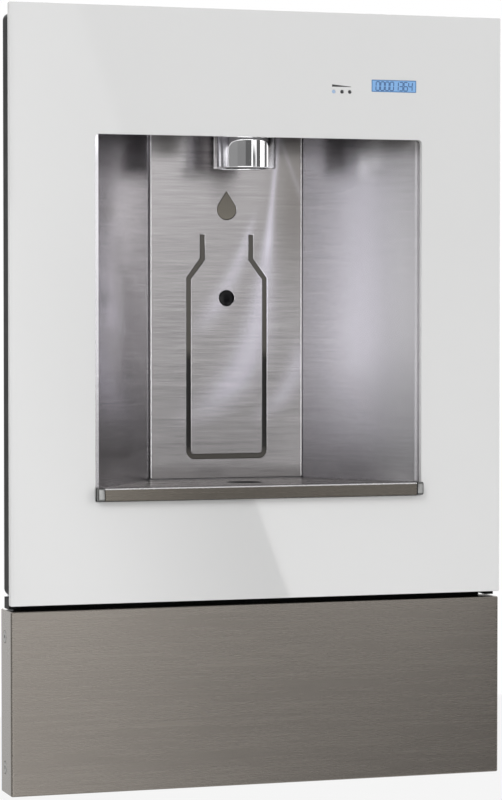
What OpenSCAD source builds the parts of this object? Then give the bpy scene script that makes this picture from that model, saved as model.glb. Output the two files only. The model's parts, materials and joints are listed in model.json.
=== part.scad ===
// In-wall bottle filling station with a glass front, a splayed steel alcove and a lower cover.
// +X is to the right as one faces it, +Y goes into the wall and +Z is up.
// The origin lies on the wall's surface, in the middle of the bottom wall flange.
// Heights inside the modules are above the bottom edge of the trim; from_base() brings them to the origin.

/* [Trim] */
// Width of the glass front
trim_w = 425; // [415:1:435]
// Height of the glass front
glass_h = 484.3; // [480:0.1:490]
// Thickness of the glass
glass_t = 5; // [4:0.5:5]
// Height of the lower steel cover
cover_h = 149.3; // [145:0.1:150]
// Gap between the cover and the glass
trim_gap = 4.5; // [4:0.1:5]
// How far the trim stands out from the wall
trim_depth = 34; // [33:0.5:35]
// How much narrower the cover is than the glass, each side
cover_inset = 0.5; // [0:0.1:1]
// How much narrower the glass carrier is than the glass, each side
carrier_inset = 3; // [2:0.5:4]

/* [Alcove] */
// Width of the opening in the glass
opening_w = 282.8; // [278:0.1:284]
// Height of the opening's bottom edge above the trim's bottom edge
opening_low = 236.6; // [236:0.1:237]
// Height of the opening's top edge
opening_high = 534.1; // [530:0.1:540]
// Corner radius of the opening
opening_r = 3; // [2:0.5:5]
// Clear width between the splayed walls at the back plate
alcove_back_w = 138.2; // [138:0.1:142]
// Depth of the back plate behind the face of the glass
alcove_depth = 94.1; // [93:0.1:94.5]
// Height of the ceiling of the alcove
ceiling_h = 556; // [555:0.5:557]
// Thickness of the folded stainless sheet
sheet_t = 1.2; // [1:0.1:1.2]
// Thickness of the target plate at the back
plate_t = 1.5; // [1.2:0.1:1.5]

/* [Target plate] */
// Width of the bottle outline's stroke
outline_w = 3.9; // [3:0.1:4.5]
// Half width of the outlined bottle's neck, to the stroke's middle
neck_half = 21.7; // [20:0.1:23]
// Half width of the outlined bottle's body
body_half = 34; // [32:0.1:35]
// Height of the outlined bottle's foot
bottle_foot = 267.2; // [266:0.1:269]
// Height where the shoulder meets the body
shoulder_low = 419; // [417:0.5:421]
// Height where the shoulder meets the neck
shoulder_high = 435.5; // [434:0.5:438]
// Height of the open top of the neck
neck_top = 456.3; // [454:0.1:458]
// Height of the sensor window
sensor_h = 402.3; // [401:0.1:404]
// Diameter of the sensor window
lens_d = 13; // [12:0.5:13.5]
// Width of the drop
drop_w = 17; // [15:0.5:18]
// Height of the drop's tip
drop_tip = 493.6; // [492:0.1:495]

/* [Nozzle] */
// Diameter of the nozzle
nozzle_d = 52; // [48:1:54]
// Height of the nozzle's lower rim
nozzle_low = 510; // [508:0.5:514]
// Distance of the nozzle's axis behind the face of the glass
nozzle_back = 45; // [44:0.5:46]

/* [Tray and drain] */
// Height of the tray's floor
tray_h = 247.8; // [247.5:0.1:248.2]
// How far the tray's front bar stands out of the glass
bar_out = 6.6; // [6:0.1:8]
// Height of the front bar
bar_h = 10.6; // [10:0.1:10.7]
// Length of a chrome end cap
cap_len = 5.5; // [4:0.5:7]
// Diameter of the hole in the tray
tray_hole_d = 24; // [22:1:26]
// Outside diameter of the tailpiece
tailpiece_d = 31.75; // [31.7:0.05:31.8]

/* [Chassis] */
// Width of the chassis between the studs
chassis_w = 368; // [366:1:368]
// Depth of the chassis behind the wall's surface
chassis_depth = 99; // [98.8:0.2:100]
// Height of the chassis' underside above the trim's bottom edge
chassis_low = 20; // [20:1:20]
// Height of the chassis' top
chassis_high = 618; // [616:1:620]
// Thickness of the galvanised sheet
galv_t = 1.2; // [1:0.1:1.2]
// Width of the side wall flange
flange_w = 14; // [12:1:14]
// Distance between stud screws from front to back
stud_dy = 50; // [40:5:50]
// Distance between stud screws up the side
stud_dz = 440; // [400:10:460]

/* [Water] */
// Outside diameter of the water tube
tube_d = 6.35; // [6:0.05:6.5]
// Bend radius of the water tube
tube_bend = 25; // [20:1:25]
// Diameter of the filter cartridge
cartridge_d = 72; // [68:1:72]
// Height of the filter cartridge's foot above the trim's bottom edge
cartridge_low = 42; // [40:1:50]
// Outside diameter of the inlet's thread
inlet_d = 14.3; // [14.2:0.05:14.4]
// Outside diameter of the solenoid's coil
coil_d = 36; // [32:1:36]

/* [Hidden] */
$fn = 72;

// The origin's height above the trim's bottom edge: the middle of the bottom wall flange
bottom_flange_h = 10;
origin_h = chassis_low - bottom_flange_h / 2;

// Trim
front_y = -trim_depth;
glass_back_y = front_y + glass_t;
glass_low = cover_h + trim_gap;
glass_high = glass_low + glass_h;
cover_half = trim_w / 2 - cover_inset;
carrier_half = trim_w / 2 - carrier_inset;
carrier_low = glass_low + 6;
carrier_high = glass_high - 6;
carrier_web = 2;
carrier_wall = 2.5;
trim_rear_y = -0.5;

// Alcove
back_y = front_y + alcove_depth;
shell_back_y = back_y + plate_t;
splay = (opening_w - alcove_back_w) / 2 / alcove_depth;
wall_x = sheet_t * sqrt(1 + splay * splay);
shell_front_y = glass_back_y + 0.2;
basin_rim_h = 240;
window_half = 42;
window_low = 262;
window_high = 500;
function half_at(y) = opening_w / 2 - splay * (y - front_y);

// The waste stands behind the nozzle's axis, clear of the wall flange
nozzle_y = front_y + nozzle_back;
drain_y = 30;
neck_r = 15;
neck_high = ceiling_h + 22;
tube_run_h = 590;

// Chassis
chassis_half = chassis_w / 2;
inner_half = chassis_half - galv_t;
lip_y = chassis_depth - galv_t;
inner_back_y = lip_y - galv_t;
back_half = inner_half - 3;
panel_y = inner_back_y - 2;
panel_low = 275;
panel_high = 535;
panel_half = 150;
lip = 14;
shelf_h = 206;
rivet_ys = [20, 50, 80];
rivet_zs = [chassis_low + 8.6, shelf_h - 7, ceiling_h + 8.2, chassis_high - 9];
lip_half = 168;
back_rivet_x = 174;
back_rivet_zs = [30, 200, 400, 600];
stud_z = (chassis_low + chassis_high) / 2;
stud_y = 45;

// Cover fixing
cover_screw_y = -12.5;
cover_screw_zs = [21.1, 127.4];
cover_skin = 1.2;
cover_shank_r = 2;
dimple_r = 5;
lug_x = [cover_half - 4.6, cover_half - 2.8];

// Display
lamp_xs = [63.1, 70.4, 77.2];
lamp_h = 572.9;
lcd_x = [96.6, 136.3];
lcd_h = [573.6, 583.6];
board_y = glass_back_y + 7;
board_posts = [for (x = [58, 146], z = [564, 594]) [x, z]];

// Water path
filter_x = -120;
filter_y = 52;
head_top = shelf_h;
neck_low = cartridge_low + 122;
port_h = 195;
head_out = [-92, 76];
valve_x = 60;
valve_y = 62;
valve_stem_h = 78;
solenoid_x = -130;
solenoid_y = 76;
solenoid_h = 329;
elbow_reach = 38;
regulator_x = [-90, -54];
bore_gap = 0.05;

// Electrics
control_x = [96, 176];
control_z = [120, 196];
button_x = 116;
button_z = 150;
lead_d = 5;
lead_bend = 14;
display_lead_xy = [150, 74];
sensor_lead_xy = [124, 80];
coil_lead_xy = [104, 88];
bushing_xy = [84, 79];

// Building helpers

module from_base() {
    translate([0, 0, -origin_h]) children();
}

module slab(x, y, z) {
    translate([x[0], y[0], z[0]]) cube([x[1] - x[0], y[1] - y[0], z[1] - z[0]]);
}

module both_sides() {
    children();
    mirror([1, 0, 0]) children();
}

module along_x(x) {
    translate([x[0], 0, 0]) rotate([90, 0, 90]) linear_extrude(x[1] - x[0]) children();
}

module along_y(y) {
    translate([0, y[1], 0]) rotate([90, 0, 0]) linear_extrude(y[1] - y[0]) children();
}

module along_z(z) {
    translate([0, 0, z[0]]) linear_extrude(z[1] - z[0]) children();
}

module rod_x(x, y, z, r) {
    translate([x[0], y, z]) rotate([0, 90, 0]) cylinder(h = x[1] - x[0], r = r);
}

module rod_y(x, y, z, r) {
    translate([x, y[0], z]) rotate([-90, 0, 0]) cylinder(h = y[1] - y[0], r = r);
}

module rod_z(x, y, z, r) {
    translate([x, y, z[0]]) cylinder(h = z[1] - z[0], r = r);
}

module hex_z(x, y, z, across) {
    translate([x, y, z[0]]) cylinder(h = z[1] - z[0], r = across / sqrt(3), $fn = 6);
}

module round_rect(x, y, r) {
    translate([x[0] + r, y[0]]) square([x[1] - x[0] - 2 * r, y[1] - y[0]]);
    translate([x[0], y[0] + r]) square([x[1] - x[0], y[1] - y[0] - 2 * r]);
    for (cx = [x[0] + r, x[1] - r], cy = [y[0] + r, y[1] - r]) translate([cx, cy]) circle(r);
}

// A trapezium in plan that follows the splayed walls, grown by a distance along X
module splayed(y, grow = 0) {
    polygon([
        [-half_at(y[0]) - grow, y[0]], [half_at(y[0]) + grow, y[0]],
        [half_at(y[1]) + grow, y[1]], [-half_at(y[1]) - grow, y[1]]
    ]);
}

// A straight stroke between two points, with round ends
module stroke(a, b, w) {
    span = b - a;
    translate(a) rotate(atan2(span[1], span[0])) translate([0, -w / 2]) square([norm(span), w]);
    for (p = [a, b]) translate(p) circle(w / 2);
}

function unit(v) = v / norm(v);

function about(middle, half) = [middle - half, middle + half];

// Turns +Z to an axis-aligned direction at a point
module aim(p, dir) {
    e1 = [dir[1], dir[2], dir[0]];
    e2 = cross(dir, e1);
    multmatrix([
        [e1[0], e2[0], dir[0], p[0]],
        [e1[1], e2[1], dir[1], p[1]],
        [e1[2], e2[2], dir[2], p[2]]
    ]) children();
}

module ring_profile(r, bore_r) {
    difference() {
        circle(r);
        if (bore_r > 0) circle(bore_r);
    }
}

// A tube along axis-aligned points, with a round bend at each turn
module tube_run(points, d, bend, bore = 0) {
    last = len(points) - 1;
    for (i = [0:last - 1]) {
        dir = unit(points[i + 1] - points[i]);
        start = (i == 0) ? 0 : bend;
        end = (i == last - 1) ? 0 : bend;
        aim(points[i] + dir * start, dir)
            linear_extrude(norm(points[i + 1] - points[i]) - start - end)
                ring_profile(d / 2, bore / 2);
    }
    for (i = [1:1:last - 1]) {
        u = unit(points[i] - points[i - 1]);
        v = unit(points[i + 1] - points[i]);
        e3 = cross(-v, u);
        c = points[i] + bend * (v - u);
        multmatrix([
            [-v[0], u[0], e3[0], c[0]],
            [-v[1], u[1], e3[1], c[1]],
            [-v[2], u[2], e3[2], c[2]]
        ]) rotate_extrude(angle = 90) translate([bend, 0]) ring_profile(d / 2, bore / 2);
    }
}

// Screws all point up from their heads
screw_r = 1.9;
screw_hole_r = 1.95;
screw_head_r = 3.8;
screw_len = 9;

module pan_screw() {
    translate([0, 0, -2.4]) cylinder(h = 2.4, r = screw_head_r);
    translate([0, 0, -0.5]) cylinder(h = screw_len + 0.5, r = screw_r);
}

// Trim: glass, carrier, hooks, rail and cover

module front_glass() {
    color("whitesmoke") from_base() difference() {
        slab([-trim_w / 2, trim_w / 2], [front_y, glass_back_y], [glass_low, glass_high]);
        along_y([front_y - 1, glass_back_y + 1]) {
            round_rect([-opening_w / 2, opening_w / 2], [opening_low, opening_high], opening_r);
            round_rect([-opening_w / 2, opening_w / 2], [opening_low, opening_low + 20], 0.6);
        }
    }
}

hook_z = 592;
hook_x = [187, 195];
carrier_screw_x = 120;
carrier_screw_y = -16;

module carrier_lug() {
    slab([hook_x[0], carrier_half - 1], [-9.8, -4], [hook_z, hook_z + 4]);
}

module carrier_gusset(z) {
    along_z([z, z + 2])
        polygon([
            [carrier_half - 1, -28], [carrier_half - 12, -28], [carrier_half - 1, -10]
        ]);
}

module glass_carrier() {
    web_y = [glass_back_y, glass_back_y + carrier_web];
    flange_reach = chassis_half + flange_w + 1;
    window = [opening_w / 2 + 14.6, opening_low - 8.6, ceiling_h + 2];
    color("dimgray") from_base() difference() {
        union() {
            difference() {
                along_y([glass_back_y, trim_rear_y])
                    round_rect([-carrier_half, carrier_half], [carrier_low, carrier_high], 6);
                along_y([web_y[1], 1])
                    round_rect(
                        [-carrier_half + carrier_wall, carrier_half - carrier_wall],
                        [carrier_low + carrier_wall, carrier_high - carrier_wall], 3.5);
                slab([-window[0], window[0]], [web_y[0] - 1, web_y[1] + 1], [window[1], window[2]]);
                slab([-flange_reach, flange_reach], [-7, 1],
                    [carrier_low - 1, carrier_low + carrier_wall + 1]);
            }
            both_sides() carrier_lug();
            both_sides() for (z = [190:70:550]) carrier_gusset(z);
            both_sides() rod_z(
                carrier_screw_x, carrier_screw_y, [carrier_low + 1, carrier_low + 13], 5);
            both_sides() rod_z(carrier_half - 6, -18, [glass_low + 1, carrier_low + 1], 4);
            for (p = board_posts) rod_y(p[0], [web_y[1] - 1, board_y], p[1], 3.4);
        }
        both_sides() rod_z(
            carrier_screw_x, carrier_screw_y, [carrier_low - 1, carrier_low + 11], screw_hole_r);
        for (p = board_posts) rod_y(p[0], [web_y[1] - 0.5, board_y + 1], p[1], 1.25);
        for (x = lamp_xs) rod_y(x, [web_y[0] - 1, web_y[1] + 1], lamp_h, 2.2);
        slab([lcd_x[0] - 3, lcd_x[1] + 3], [web_y[0] - 1, web_y[1] + 1], [lcd_h[0] - 4, lcd_h[1] + 4]);
    }
}

module mid_rail() {
    rail_half = chassis_half + flange_w - 1;
    rail_z = [146, carrier_low];
    color("gray") from_base() difference() {
        union() {
            slab([-rail_half, rail_half], [-24, -8], [rail_z[1] - galv_t, rail_z[1]]);
            slab([-rail_half, rail_half], [-8 - galv_t, -8], rail_z);
            both_sides() slab([rail_half - galv_t, rail_half], [-8.5, -galv_t], rail_z);
            both_sides() slab([chassis_half + 2, rail_half], [-2 * galv_t, -galv_t], rail_z);
        }
        both_sides() rod_z(
            carrier_screw_x, carrier_screw_y, [rail_z[1] - 3, rail_z[1] + 1], 2.2);
    }
}

module cover_profile(half, y, r) {
    translate([-half, y + r]) square([2 * half, trim_rear_y - y - r]);
    translate([-half + r, y]) square([2 * (half - r), 2 * r]);
    both_sides() translate([half - r, y + r]) circle(r);
}

module lower_cover() {
    inner = cover_half - cover_skin;
    color("gray") from_base() difference() {
        union() {
            along_z([0, cover_h]) difference() {
                cover_profile(cover_half, front_y, 2);
                translate([0, cover_skin])
                    cover_profile(inner, front_y, 0.8);
                translate([-inner, -10]) square([2 * inner, 20]);
            }
            slab([-inner - 0.5, inner + 0.5], [front_y + 0.6, -10], [cover_h - cover_skin, cover_h]);
            slab([-inner - 0.5, inner + 0.5], [front_y + 0.6, -2], [0, cover_skin]);
            both_sides() for (z = cover_screw_zs)
                rod_x([inner - cover_skin, inner + 0.5], cover_screw_y, z, dimple_r + 1.2);
        }
        both_sides() for (z = cover_screw_zs) {
            rod_x([inner, cover_half + 1], cover_screw_y, z, dimple_r);
            rod_x([inner - 3, cover_half], cover_screw_y, z, cover_shank_r + 0.1);
        }
    }
}

module cover_screws() {
    inner = cover_half - cover_skin;
    color("lightgray") from_base() both_sides() for (z = cover_screw_zs) difference() {
        union() {
            rod_x([inner, inner + 1.4], cover_screw_y, z, dimple_r - 0.25);
            rod_x([inner - 8.5, inner + 0.5], cover_screw_y, z, cover_shank_r);
        }
        translate([inner + 0.5, cover_screw_y, z])
            rotate([0, 90, 0]) cylinder(h = 2, r = 1.6, $fn = 6);
    }
}

module cover_nuts() {
    color("silver") from_base() both_sides() for (z = cover_screw_zs) difference() {
        slab([lug_x[0] - 3.6, lug_x[0] - 0.4], about(cover_screw_y, 3.5), about(z, 3.5));
        rod_x([lug_x[0] - 5, lug_x[0]], cover_screw_y, z, cover_shank_r + 0.02);
    }
}

module cover_brackets() {
    slot_r = cover_shank_r + 0.3;
    z = [8, 142];
    color("silver") from_base() both_sides() difference() {
        union() {
            slab([chassis_half + 2, lug_x[1]], [-2.7, -galv_t], z);
            slab(lug_x, [-24, -galv_t], z);
        }
        for (sz = cover_screw_zs) {
            rod_x([lug_x[0] - 1, lug_x[1] + 1], cover_screw_y, sz, slot_r);
            slab([lug_x[0] - 1, lug_x[1] + 1], [-25, cover_screw_y], about(sz, slot_r));
        }
        slab([lug_x[0] - 1, lug_x[1] + 1], [-25, -8], [52, 98]);
    }
}

// Display behind the glass

module lcd_display() {
    color("steelblue") from_base() {
        slab(lcd_x + [-1, 1], [glass_back_y, board_y - 1], lcd_h + [-1.5, 1.5]);
        slab(lcd_x + [-2, 2], [board_y - 2.5, board_y], lcd_h + [-3, 3]);
    }
}

module display_board() {
    t = 1.6;
    color("darkgreen") from_base() difference() {
        union() {
            slab([54, 150], [board_y, board_y + t], [560, 598]);
            slab([113, 127], [board_y + t - 0.2, -14], [571.5, 582.5]);
            slab([66, 82], [board_y + t - 0.2, board_y + t + 2.4], [580, 590]);
            slab([92, 102], [board_y + t - 0.2, board_y + t + 1.8], [578, 588]);
        }
        for (p = board_posts) rod_y(p[0], [board_y - 1, board_y + t + 1], p[1], 1.7);
    }
}

module lamp_lenses() {
    color("lightblue") from_base() for (x = lamp_xs)
        rod_y(x, [glass_back_y, board_y], lamp_h, 1.5);
}

// Alcove

module shell_flange(z) {
    along_z([z, z + sheet_t]) difference() {
        splayed([-20, 58], wall_x + 9);
        splayed([-21, 59], 0.2);
    }
}

module alcove_shell() {
    front_out = opening_w / 2 + 10;
    color("silver") from_base() difference() {
        union() {
            along_z([basin_rim_h, ceiling_h]) difference() {
                splayed([shell_front_y, shell_back_y + sheet_t], wall_x);
                splayed([shell_front_y - 1, shell_back_y]);
            }
            shell_flange(basin_rim_h);
            shell_flange(ceiling_h - sheet_t);
            both_sides() slab(
                [half_at(shell_front_y) + 0.6, front_out],
                [shell_front_y, shell_front_y + sheet_t], [basin_rim_h, ceiling_h]);
        }
        slab([-window_half, window_half], [back_y - 1, shell_back_y + 3], [window_low, window_high]);
    }
}

// A full-width plate with its rear corners notched for the bends of the sides
module shelf_plate(y, z) {
    slab([-inner_half, inner_half], [y[0], y[1] - 3], z);
    slab([-inner_half + 3, inner_half - 3], [y[1] - 4, y[1]], z);
}

module alcove_ceiling() {
    z = [ceiling_h, ceiling_h + galv_t];
    color("silver") from_base() difference() {
        union() {
            shelf_plate([2, inner_back_y], z);
            slab([-170, 170], [-26, 3], z);
            both_sides() slab([inner_half - galv_t, inner_half], [4, 94], [z[0], z[1] + lip]);
        }
        rod_z(0, nozzle_y, [z[0] - 1, z[1] + 1], neck_r + 0.1);
        rod_z(solenoid_x - elbow_reach, solenoid_y, [z[0] - 1, z[1] + 1], 6.1);
        rod_z(display_lead_xy[0], display_lead_xy[1], [z[0] - 1, z[1] + 1], 4.6);
        at_rivets([rivet_zs[2]]) rivet_hole();
    }
}

module bottle_outline(w) {
    foot_r = 5;
    both_sides() {
        stroke([neck_half, neck_top], [neck_half, shoulder_high], w);
        stroke([neck_half, shoulder_high], [body_half, shoulder_low], w);
        stroke([body_half, shoulder_low], [body_half, bottle_foot + foot_r], w);
        translate([body_half - foot_r, bottle_foot + foot_r]) intersection() {
            difference() {
                circle(foot_r + w / 2);
                circle(foot_r - w / 2);
            }
            translate([0, -2 * foot_r]) square(2 * foot_r);
        }
    }
    translate([-body_half + foot_r - 0.1, bottle_foot - w / 2])
        square([2 * (body_half - foot_r) + 0.2, w]);
}

// A circle with two tangents that meet at the tip
module drop(shrink = 0) {
    r = drop_w / 2 - shrink;
    middle = drop_tip - 24.3 + drop_w / 2;
    reach = drop_tip - middle - 2 * shrink;
    a = acos(r / reach);
    translate([0, middle]) {
        circle(r);
        polygon([[0, reach], [r * sin(a), r * cos(a)], [0, 0], [-r * sin(a), r * cos(a)]]);
    }
}

module target_plate() {
    half = alcove_back_w / 2 - 1.3;
    color("lightgray") from_base() difference() {
        along_y([back_y, shell_back_y])
            round_rect([-half, half], [tray_h + 0.6, ceiling_h - 0.4], 1);
        along_y([back_y - 1, shell_back_y + 1]) {
            bottle_outline(outline_w);
            drop();
        }
        rod_y(0, [back_y - 1, shell_back_y + 1], sensor_h, lens_d / 2 + 0.2);
    }
}

module light_guide() {
    gap = 0.15;
    posts = [for (x = [-32, 32], z = [276, 486]) [x, z]];
    color("lightslategray") from_base() difference() {
        union() {
            slab([-40, 40], [shell_back_y, shell_back_y + 2.8], [window_low + 2, window_high - 2]);
            along_y([back_y + 0.3, shell_back_y + 0.5]) {
                bottle_outline(outline_w - 2 * gap);
                drop(gap);
            }
            for (p = posts) rod_y(p[0], [shell_back_y + 2, shell_back_y + 8.4], p[1], 2.5);
        }
        rod_y(0, [back_y - 1, shell_back_y + 4], sensor_h, 9.2);
    }
}

module lamp_board() {
    y = shell_back_y + 8.4;
    color("darkgreen") from_base() difference() {
        union() {
            slab([-36, 36], [y, y + 1.6], [268, 494]);
            both_sides() for (z = [290:30:410])
                slab(about(body_half, 1.5), [y - 1.4, y + 0.2], about(z, 1.5));
            both_sides() slab(about(neck_half, 1.5), [y - 1.4, y + 0.2], [444, 447]);
            slab([-1.5, 1.5], [y - 1.4, y + 0.2], [476, 479]);
            slab([22, 34], [y + 1.4, y + 10], [264, 276]);
            slab([-30, -18], [y + 1.4, y + 3.4], [300, 314]);
        }
        rod_y(0, [y - 3, y + 3], sensor_h, 9.6);
    }
}

module sensor_lens() {
    bulge_r = 22;
    tip_y = back_y - 1.2;
    color("black") from_base() intersection() {
        rod_y(0, [tip_y - 1, back_y + 6], sensor_h, lens_d / 2);
        translate([0, tip_y + bulge_r, sensor_h]) sphere(bulge_r);
    }
}

module sensor_housing() {
    board_rear = shell_back_y + 10;
    color("dimgray") from_base() difference() {
        union() {
            rod_y(0, [shell_back_y + 0.1, board_rear + 1], sensor_h, 8.8);
            rod_y(0, [board_rear, board_rear + 4], sensor_h, 12);
            slab([-6, 6], [board_rear + 3, board_rear + 9], about(sensor_h, 8));
        }
        rod_y(0, [shell_back_y - 1, back_y + 6], sensor_h, lens_d / 2 + 0.1);
    }
}

// Nozzle

module nozzle_body() {
    color("lightgray") from_base() translate([0, nozzle_y, 0]) difference() {
        union() {
            cylinder(h = ceiling_h, r = nozzle_d / 2);
            cylinder(h = neck_high, r = neck_r);
        }
        translate([0, 0, -1]) cylinder(h = nozzle_low + 1, r = nozzle_d);
        cylinder(h = nozzle_low + 30, r = nozzle_d / 2 - 3);
        cylinder(h = neck_high - 10, r = 4);
        translate([0, 0, neck_high - 11]) cylinder(h = 12, r = 5.1);
    }
}

module aerator() {
    low = nozzle_low + 2;
    plate = 2;
    pitch = 4.2;
    color("gray") from_base() translate([0, nozzle_y, 0]) difference() {
        union() {
            translate([0, 0, low]) cylinder(h = nozzle_low + 30 - low, r = 13);
            translate([0, 0, nozzle_low + 26]) cylinder(h = 4, r = 17);
        }
        translate([0, 0, low + plate]) cylinder(h = 40, r = 10.5);
        for (q = [-2:2], p = [-2:2]) if (abs(p + q) <= 2)
            translate([pitch * (q + p / 2), pitch * p * sin(60), low - 1])
                cylinder(h = plate + 2, r = 1.2);
    }
}

module nozzle_nut() {
    top = ceiling_h + galv_t;
    color("goldenrod") from_base() difference() {
        hex_z(0, nozzle_y, [top, top + 9], 44);
        rod_z(0, nozzle_y, [top - 1, top + 10], neck_r + bore_gap);
    }
}

module nozzle_elbow() {
    arm_y = [nozzle_y, nozzle_y + 33];
    color("gainsboro") from_base() difference() {
        union() {
            rod_z(0, nozzle_y, [neck_high - 10, neck_high + 1], 5);
            rod_z(0, nozzle_y, [neck_high, tube_run_h + 9], 9);
            rod_y(0, [arm_y[0], arm_y[1] - 3], tube_run_h, 9);
            rod_y(0, arm_y, tube_run_h, 6.5);
        }
        rod_z(0, nozzle_y, [neck_high - 11, tube_run_h], 3);
        rod_y(0, [arm_y[0] + 14, arm_y[1] + 1], tube_run_h, tube_d / 2 + bore_gap);
        rod_y(0, [arm_y[0], arm_y[0] + 15], tube_run_h, 3);
    }
}

// Tray and drain

bar_y = [front_y - bar_out, glass_back_y - 1];
bar_z = [tray_h - bar_h, tray_h];

module drip_tray() {
    t = 1;
    dish_r = 38;
    ring_r = 17;
    hole_r = tray_hole_d / 2;
    sink = 2;
    plan_y = [bar_y[1], back_y - 1];
    color("silver") from_base() {
        difference() {
            union() {
                along_z([tray_h - t, tray_h]) splayed(plan_y, -1);
                along_z([basin_rim_h + 0.2, tray_h]) difference() {
                    splayed(plan_y, -1);
                    splayed(plan_y + [t, -t], -1 - 1.26 * t);
                }
            }
            rod_z(0, nozzle_y, [tray_h - 5, tray_h + 1], dish_r - 0.5);
        }
        translate([0, nozzle_y, tray_h]) rotate_extrude() polygon([
            [dish_r, 0], [ring_r, -sink], [hole_r, -sink], [hole_r, -7], [hole_r + t, -7],
            [hole_r + t, -sink - t], [ring_r, -sink - t], [dish_r, -t]
        ]);
    }
}

module tray_bar() {
    half = opening_w / 2 - 0.3 - cap_len;
    color("gray") from_base() along_x([-half, half]) difference() {
        round_rect([bar_y[0], bar_y[1] + 2], bar_z, 1.2);
        translate([bar_y[1], bar_z[0] - 1]) square([4, bar_h + 2]);
    }
}

module tray_end_caps() {
    half = opening_w / 2 - 0.3;
    color("lightgray") from_base() both_sides() along_x([half - cap_len, half]) difference() {
        round_rect([bar_y[0] - 0.4, bar_y[1] + 2], bar_z + [0, 0.4], 1.6);
        translate([bar_y[1], bar_z[0] - 1]) square([4, bar_h + 3]);
    }
}

basin_y = [-22, 56];
basin_in = -8;
basin_wall = 2.5;
basin_out = basin_in + basin_wall * sqrt(1 + splay * splay);
drain_seat = 217;
floor_t = 2.5;
seat_r = 27;
fall = 0.1;
feet = [[88, 12, 221.4], [52, 48, 219]];

module drain_basin() {
    outer_y = basin_y + [-basin_wall, basin_wall];
    far = 170;
    rise = (far - seat_r) * fall;
    color("slategray") from_base() difference() {
        union() {
            along_z([basin_rim_h - 1.5, basin_rim_h]) difference() {
                splayed([-26.5, 67], wall_x + 9);
                splayed(basin_y, basin_in);
            }
            along_z([drain_seat + 1, basin_rim_h]) difference() {
                splayed(outer_y, basin_out);
                splayed(basin_y, basin_in);
            }
            intersection() {
                translate([0, drain_y, drain_seat]) rotate_extrude() polygon([
                    [0, 0], [seat_r, 0], [far, rise], [far, rise - floor_t],
                    [seat_r, -floor_t], [0, -floor_t]
                ]);
                along_z([drain_seat - 5, basin_rim_h]) splayed(outer_y, basin_out);
            }
            both_sides() for (f = feet) rod_z(f[0], f[1], [shelf_h + galv_t, f[2]], 6);
        }
        rod_z(0, drain_y, [drain_seat - 5, drain_seat + 5], 18.5);
        both_sides() for (f = feet)
            rod_z(f[0], f[1], [shelf_h, shelf_h + galv_t + 9.5], screw_hole_r);
    }
}

barrel_r = 18.3;
barrel_low = 188;
nut_seat = barrel_low - 1.5;
slip_low = 184;

module drain_strainer() {
    color("lightgray") from_base() translate([0, drain_y, 0]) difference() {
        union() {
            translate([0, 0, drain_seat]) cylinder(h = 2, r = 25);
            translate([0, 0, barrel_low]) cylinder(h = drain_seat + 1 - barrel_low, r = barrel_r);
        }
        translate([0, 0, barrel_low - 1]) cylinder(h = drain_seat - barrel_low + 1.6, r = 14.5);
        translate([0, 0, drain_seat - 1]) cylinder(h = 4, r = 2.6);
        for (ring = [[6, 7], [12, 11.6]], k = [0:ring[0] - 1])
            rotate(360 * k / ring[0]) translate([ring[1], 0, drain_seat - 1]) cylinder(h = 4, r = 1.9);
    }
}

module drain_washer() {
    color("black") from_base() difference() {
        rod_z(0, drain_y, [drain_seat - 5.5, drain_seat - floor_t], 27);
        rod_z(0, drain_y, [drain_seat - 6, drain_seat], barrel_r + bore_gap);
    }
}

module drain_locknut() {
    z = [drain_seat - 13.5, drain_seat - 5.5];
    color("goldenrod") from_base() difference() {
        hex_z(0, drain_y, z, 52);
        rod_z(0, drain_y, z + [-1, 1], barrel_r + bore_gap);
    }
}

module slip_nut() {
    color("gainsboro") from_base() translate([0, drain_y, 0]) difference() {
        union() {
            translate([0, 0, slip_low]) cylinder(h = 16, r = 22.5);
            for (k = [0:7]) rotate(45 * k) translate([21.5, 0, slip_low])
                cylinder(h = 16, r = 2.6);
        }
        translate([0, 0, nut_seat]) cylinder(h = 15, r = barrel_r + bore_gap);
        translate([0, 0, slip_low - 1]) cylinder(h = 6, r = tailpiece_d / 2 + 0.2);
    }
}

// A tube whose flange the slip nut pulls up against the barrel
module drain_tailpiece() {
    color("lightgray") from_base() difference() {
        union() {
            rod_z(0, drain_y, [100, slip_low], tailpiece_d / 2);
            rod_z(0, drain_y, [slip_low - 1, barrel_low], tailpiece_d / 2 - 0.3);
            rod_z(0, drain_y, [nut_seat, barrel_low], 17.6);
        }
        rod_z(0, drain_y, [99, barrel_low + 1], tailpiece_d / 2 - 1.2);
    }
}

// Chassis

module at_rivets(zs) {
    for (side = [-1, 1], z = zs, y = rivet_ys) translate([side * inner_half, y, z])
        rotate([0, 90 * side, 0]) children();
}

module at_back_rivets() {
    for (side = [-1, 1], z = back_rivet_zs) translate([side * back_rivet_x, lip_y, z])
        rotate([-90, 0, 0]) children();
}

module rivet_hole() {
    translate([0, 0, -3]) cylinder(h = 6, r = 2.05);
}

module rivet() {
    translate([0, 0, galv_t]) cylinder(h = 1.1, r = 3.9);
    translate([0, 0, -galv_t - 0.5]) cylinder(h = 3, r = 2);
    translate([0, 0, -galv_t - 1.4]) cylinder(h = 1.4, r = 2.7);
}

module chassis_rivets() {
    color("silver") from_base() {
        at_rivets(rivet_zs) rivet();
        at_back_rivets() rivet();
    }
}

module side_plan(grow) {
    r = 2.5 + grow;
    half = inner_half + grow;
    back = lip_y + grow;
    translate([-half, -galv_t]) square([2 * half, back + galv_t - r]);
    translate([-half + r, back - 2 * r]) square([2 * (half - r), 2 * r]);
    both_sides() translate([half - r, back - r]) circle(r);
}

// A tab lanced out of the wall flange and folded up at its end
module hang_hook() {
    slab(hook_x, [-11.5, -galv_t / 2], [hook_z - galv_t, hook_z]);
    slab(hook_x, [-11.5, -11.5 + galv_t], [hook_z - galv_t, hook_z + 7]);
}

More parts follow.
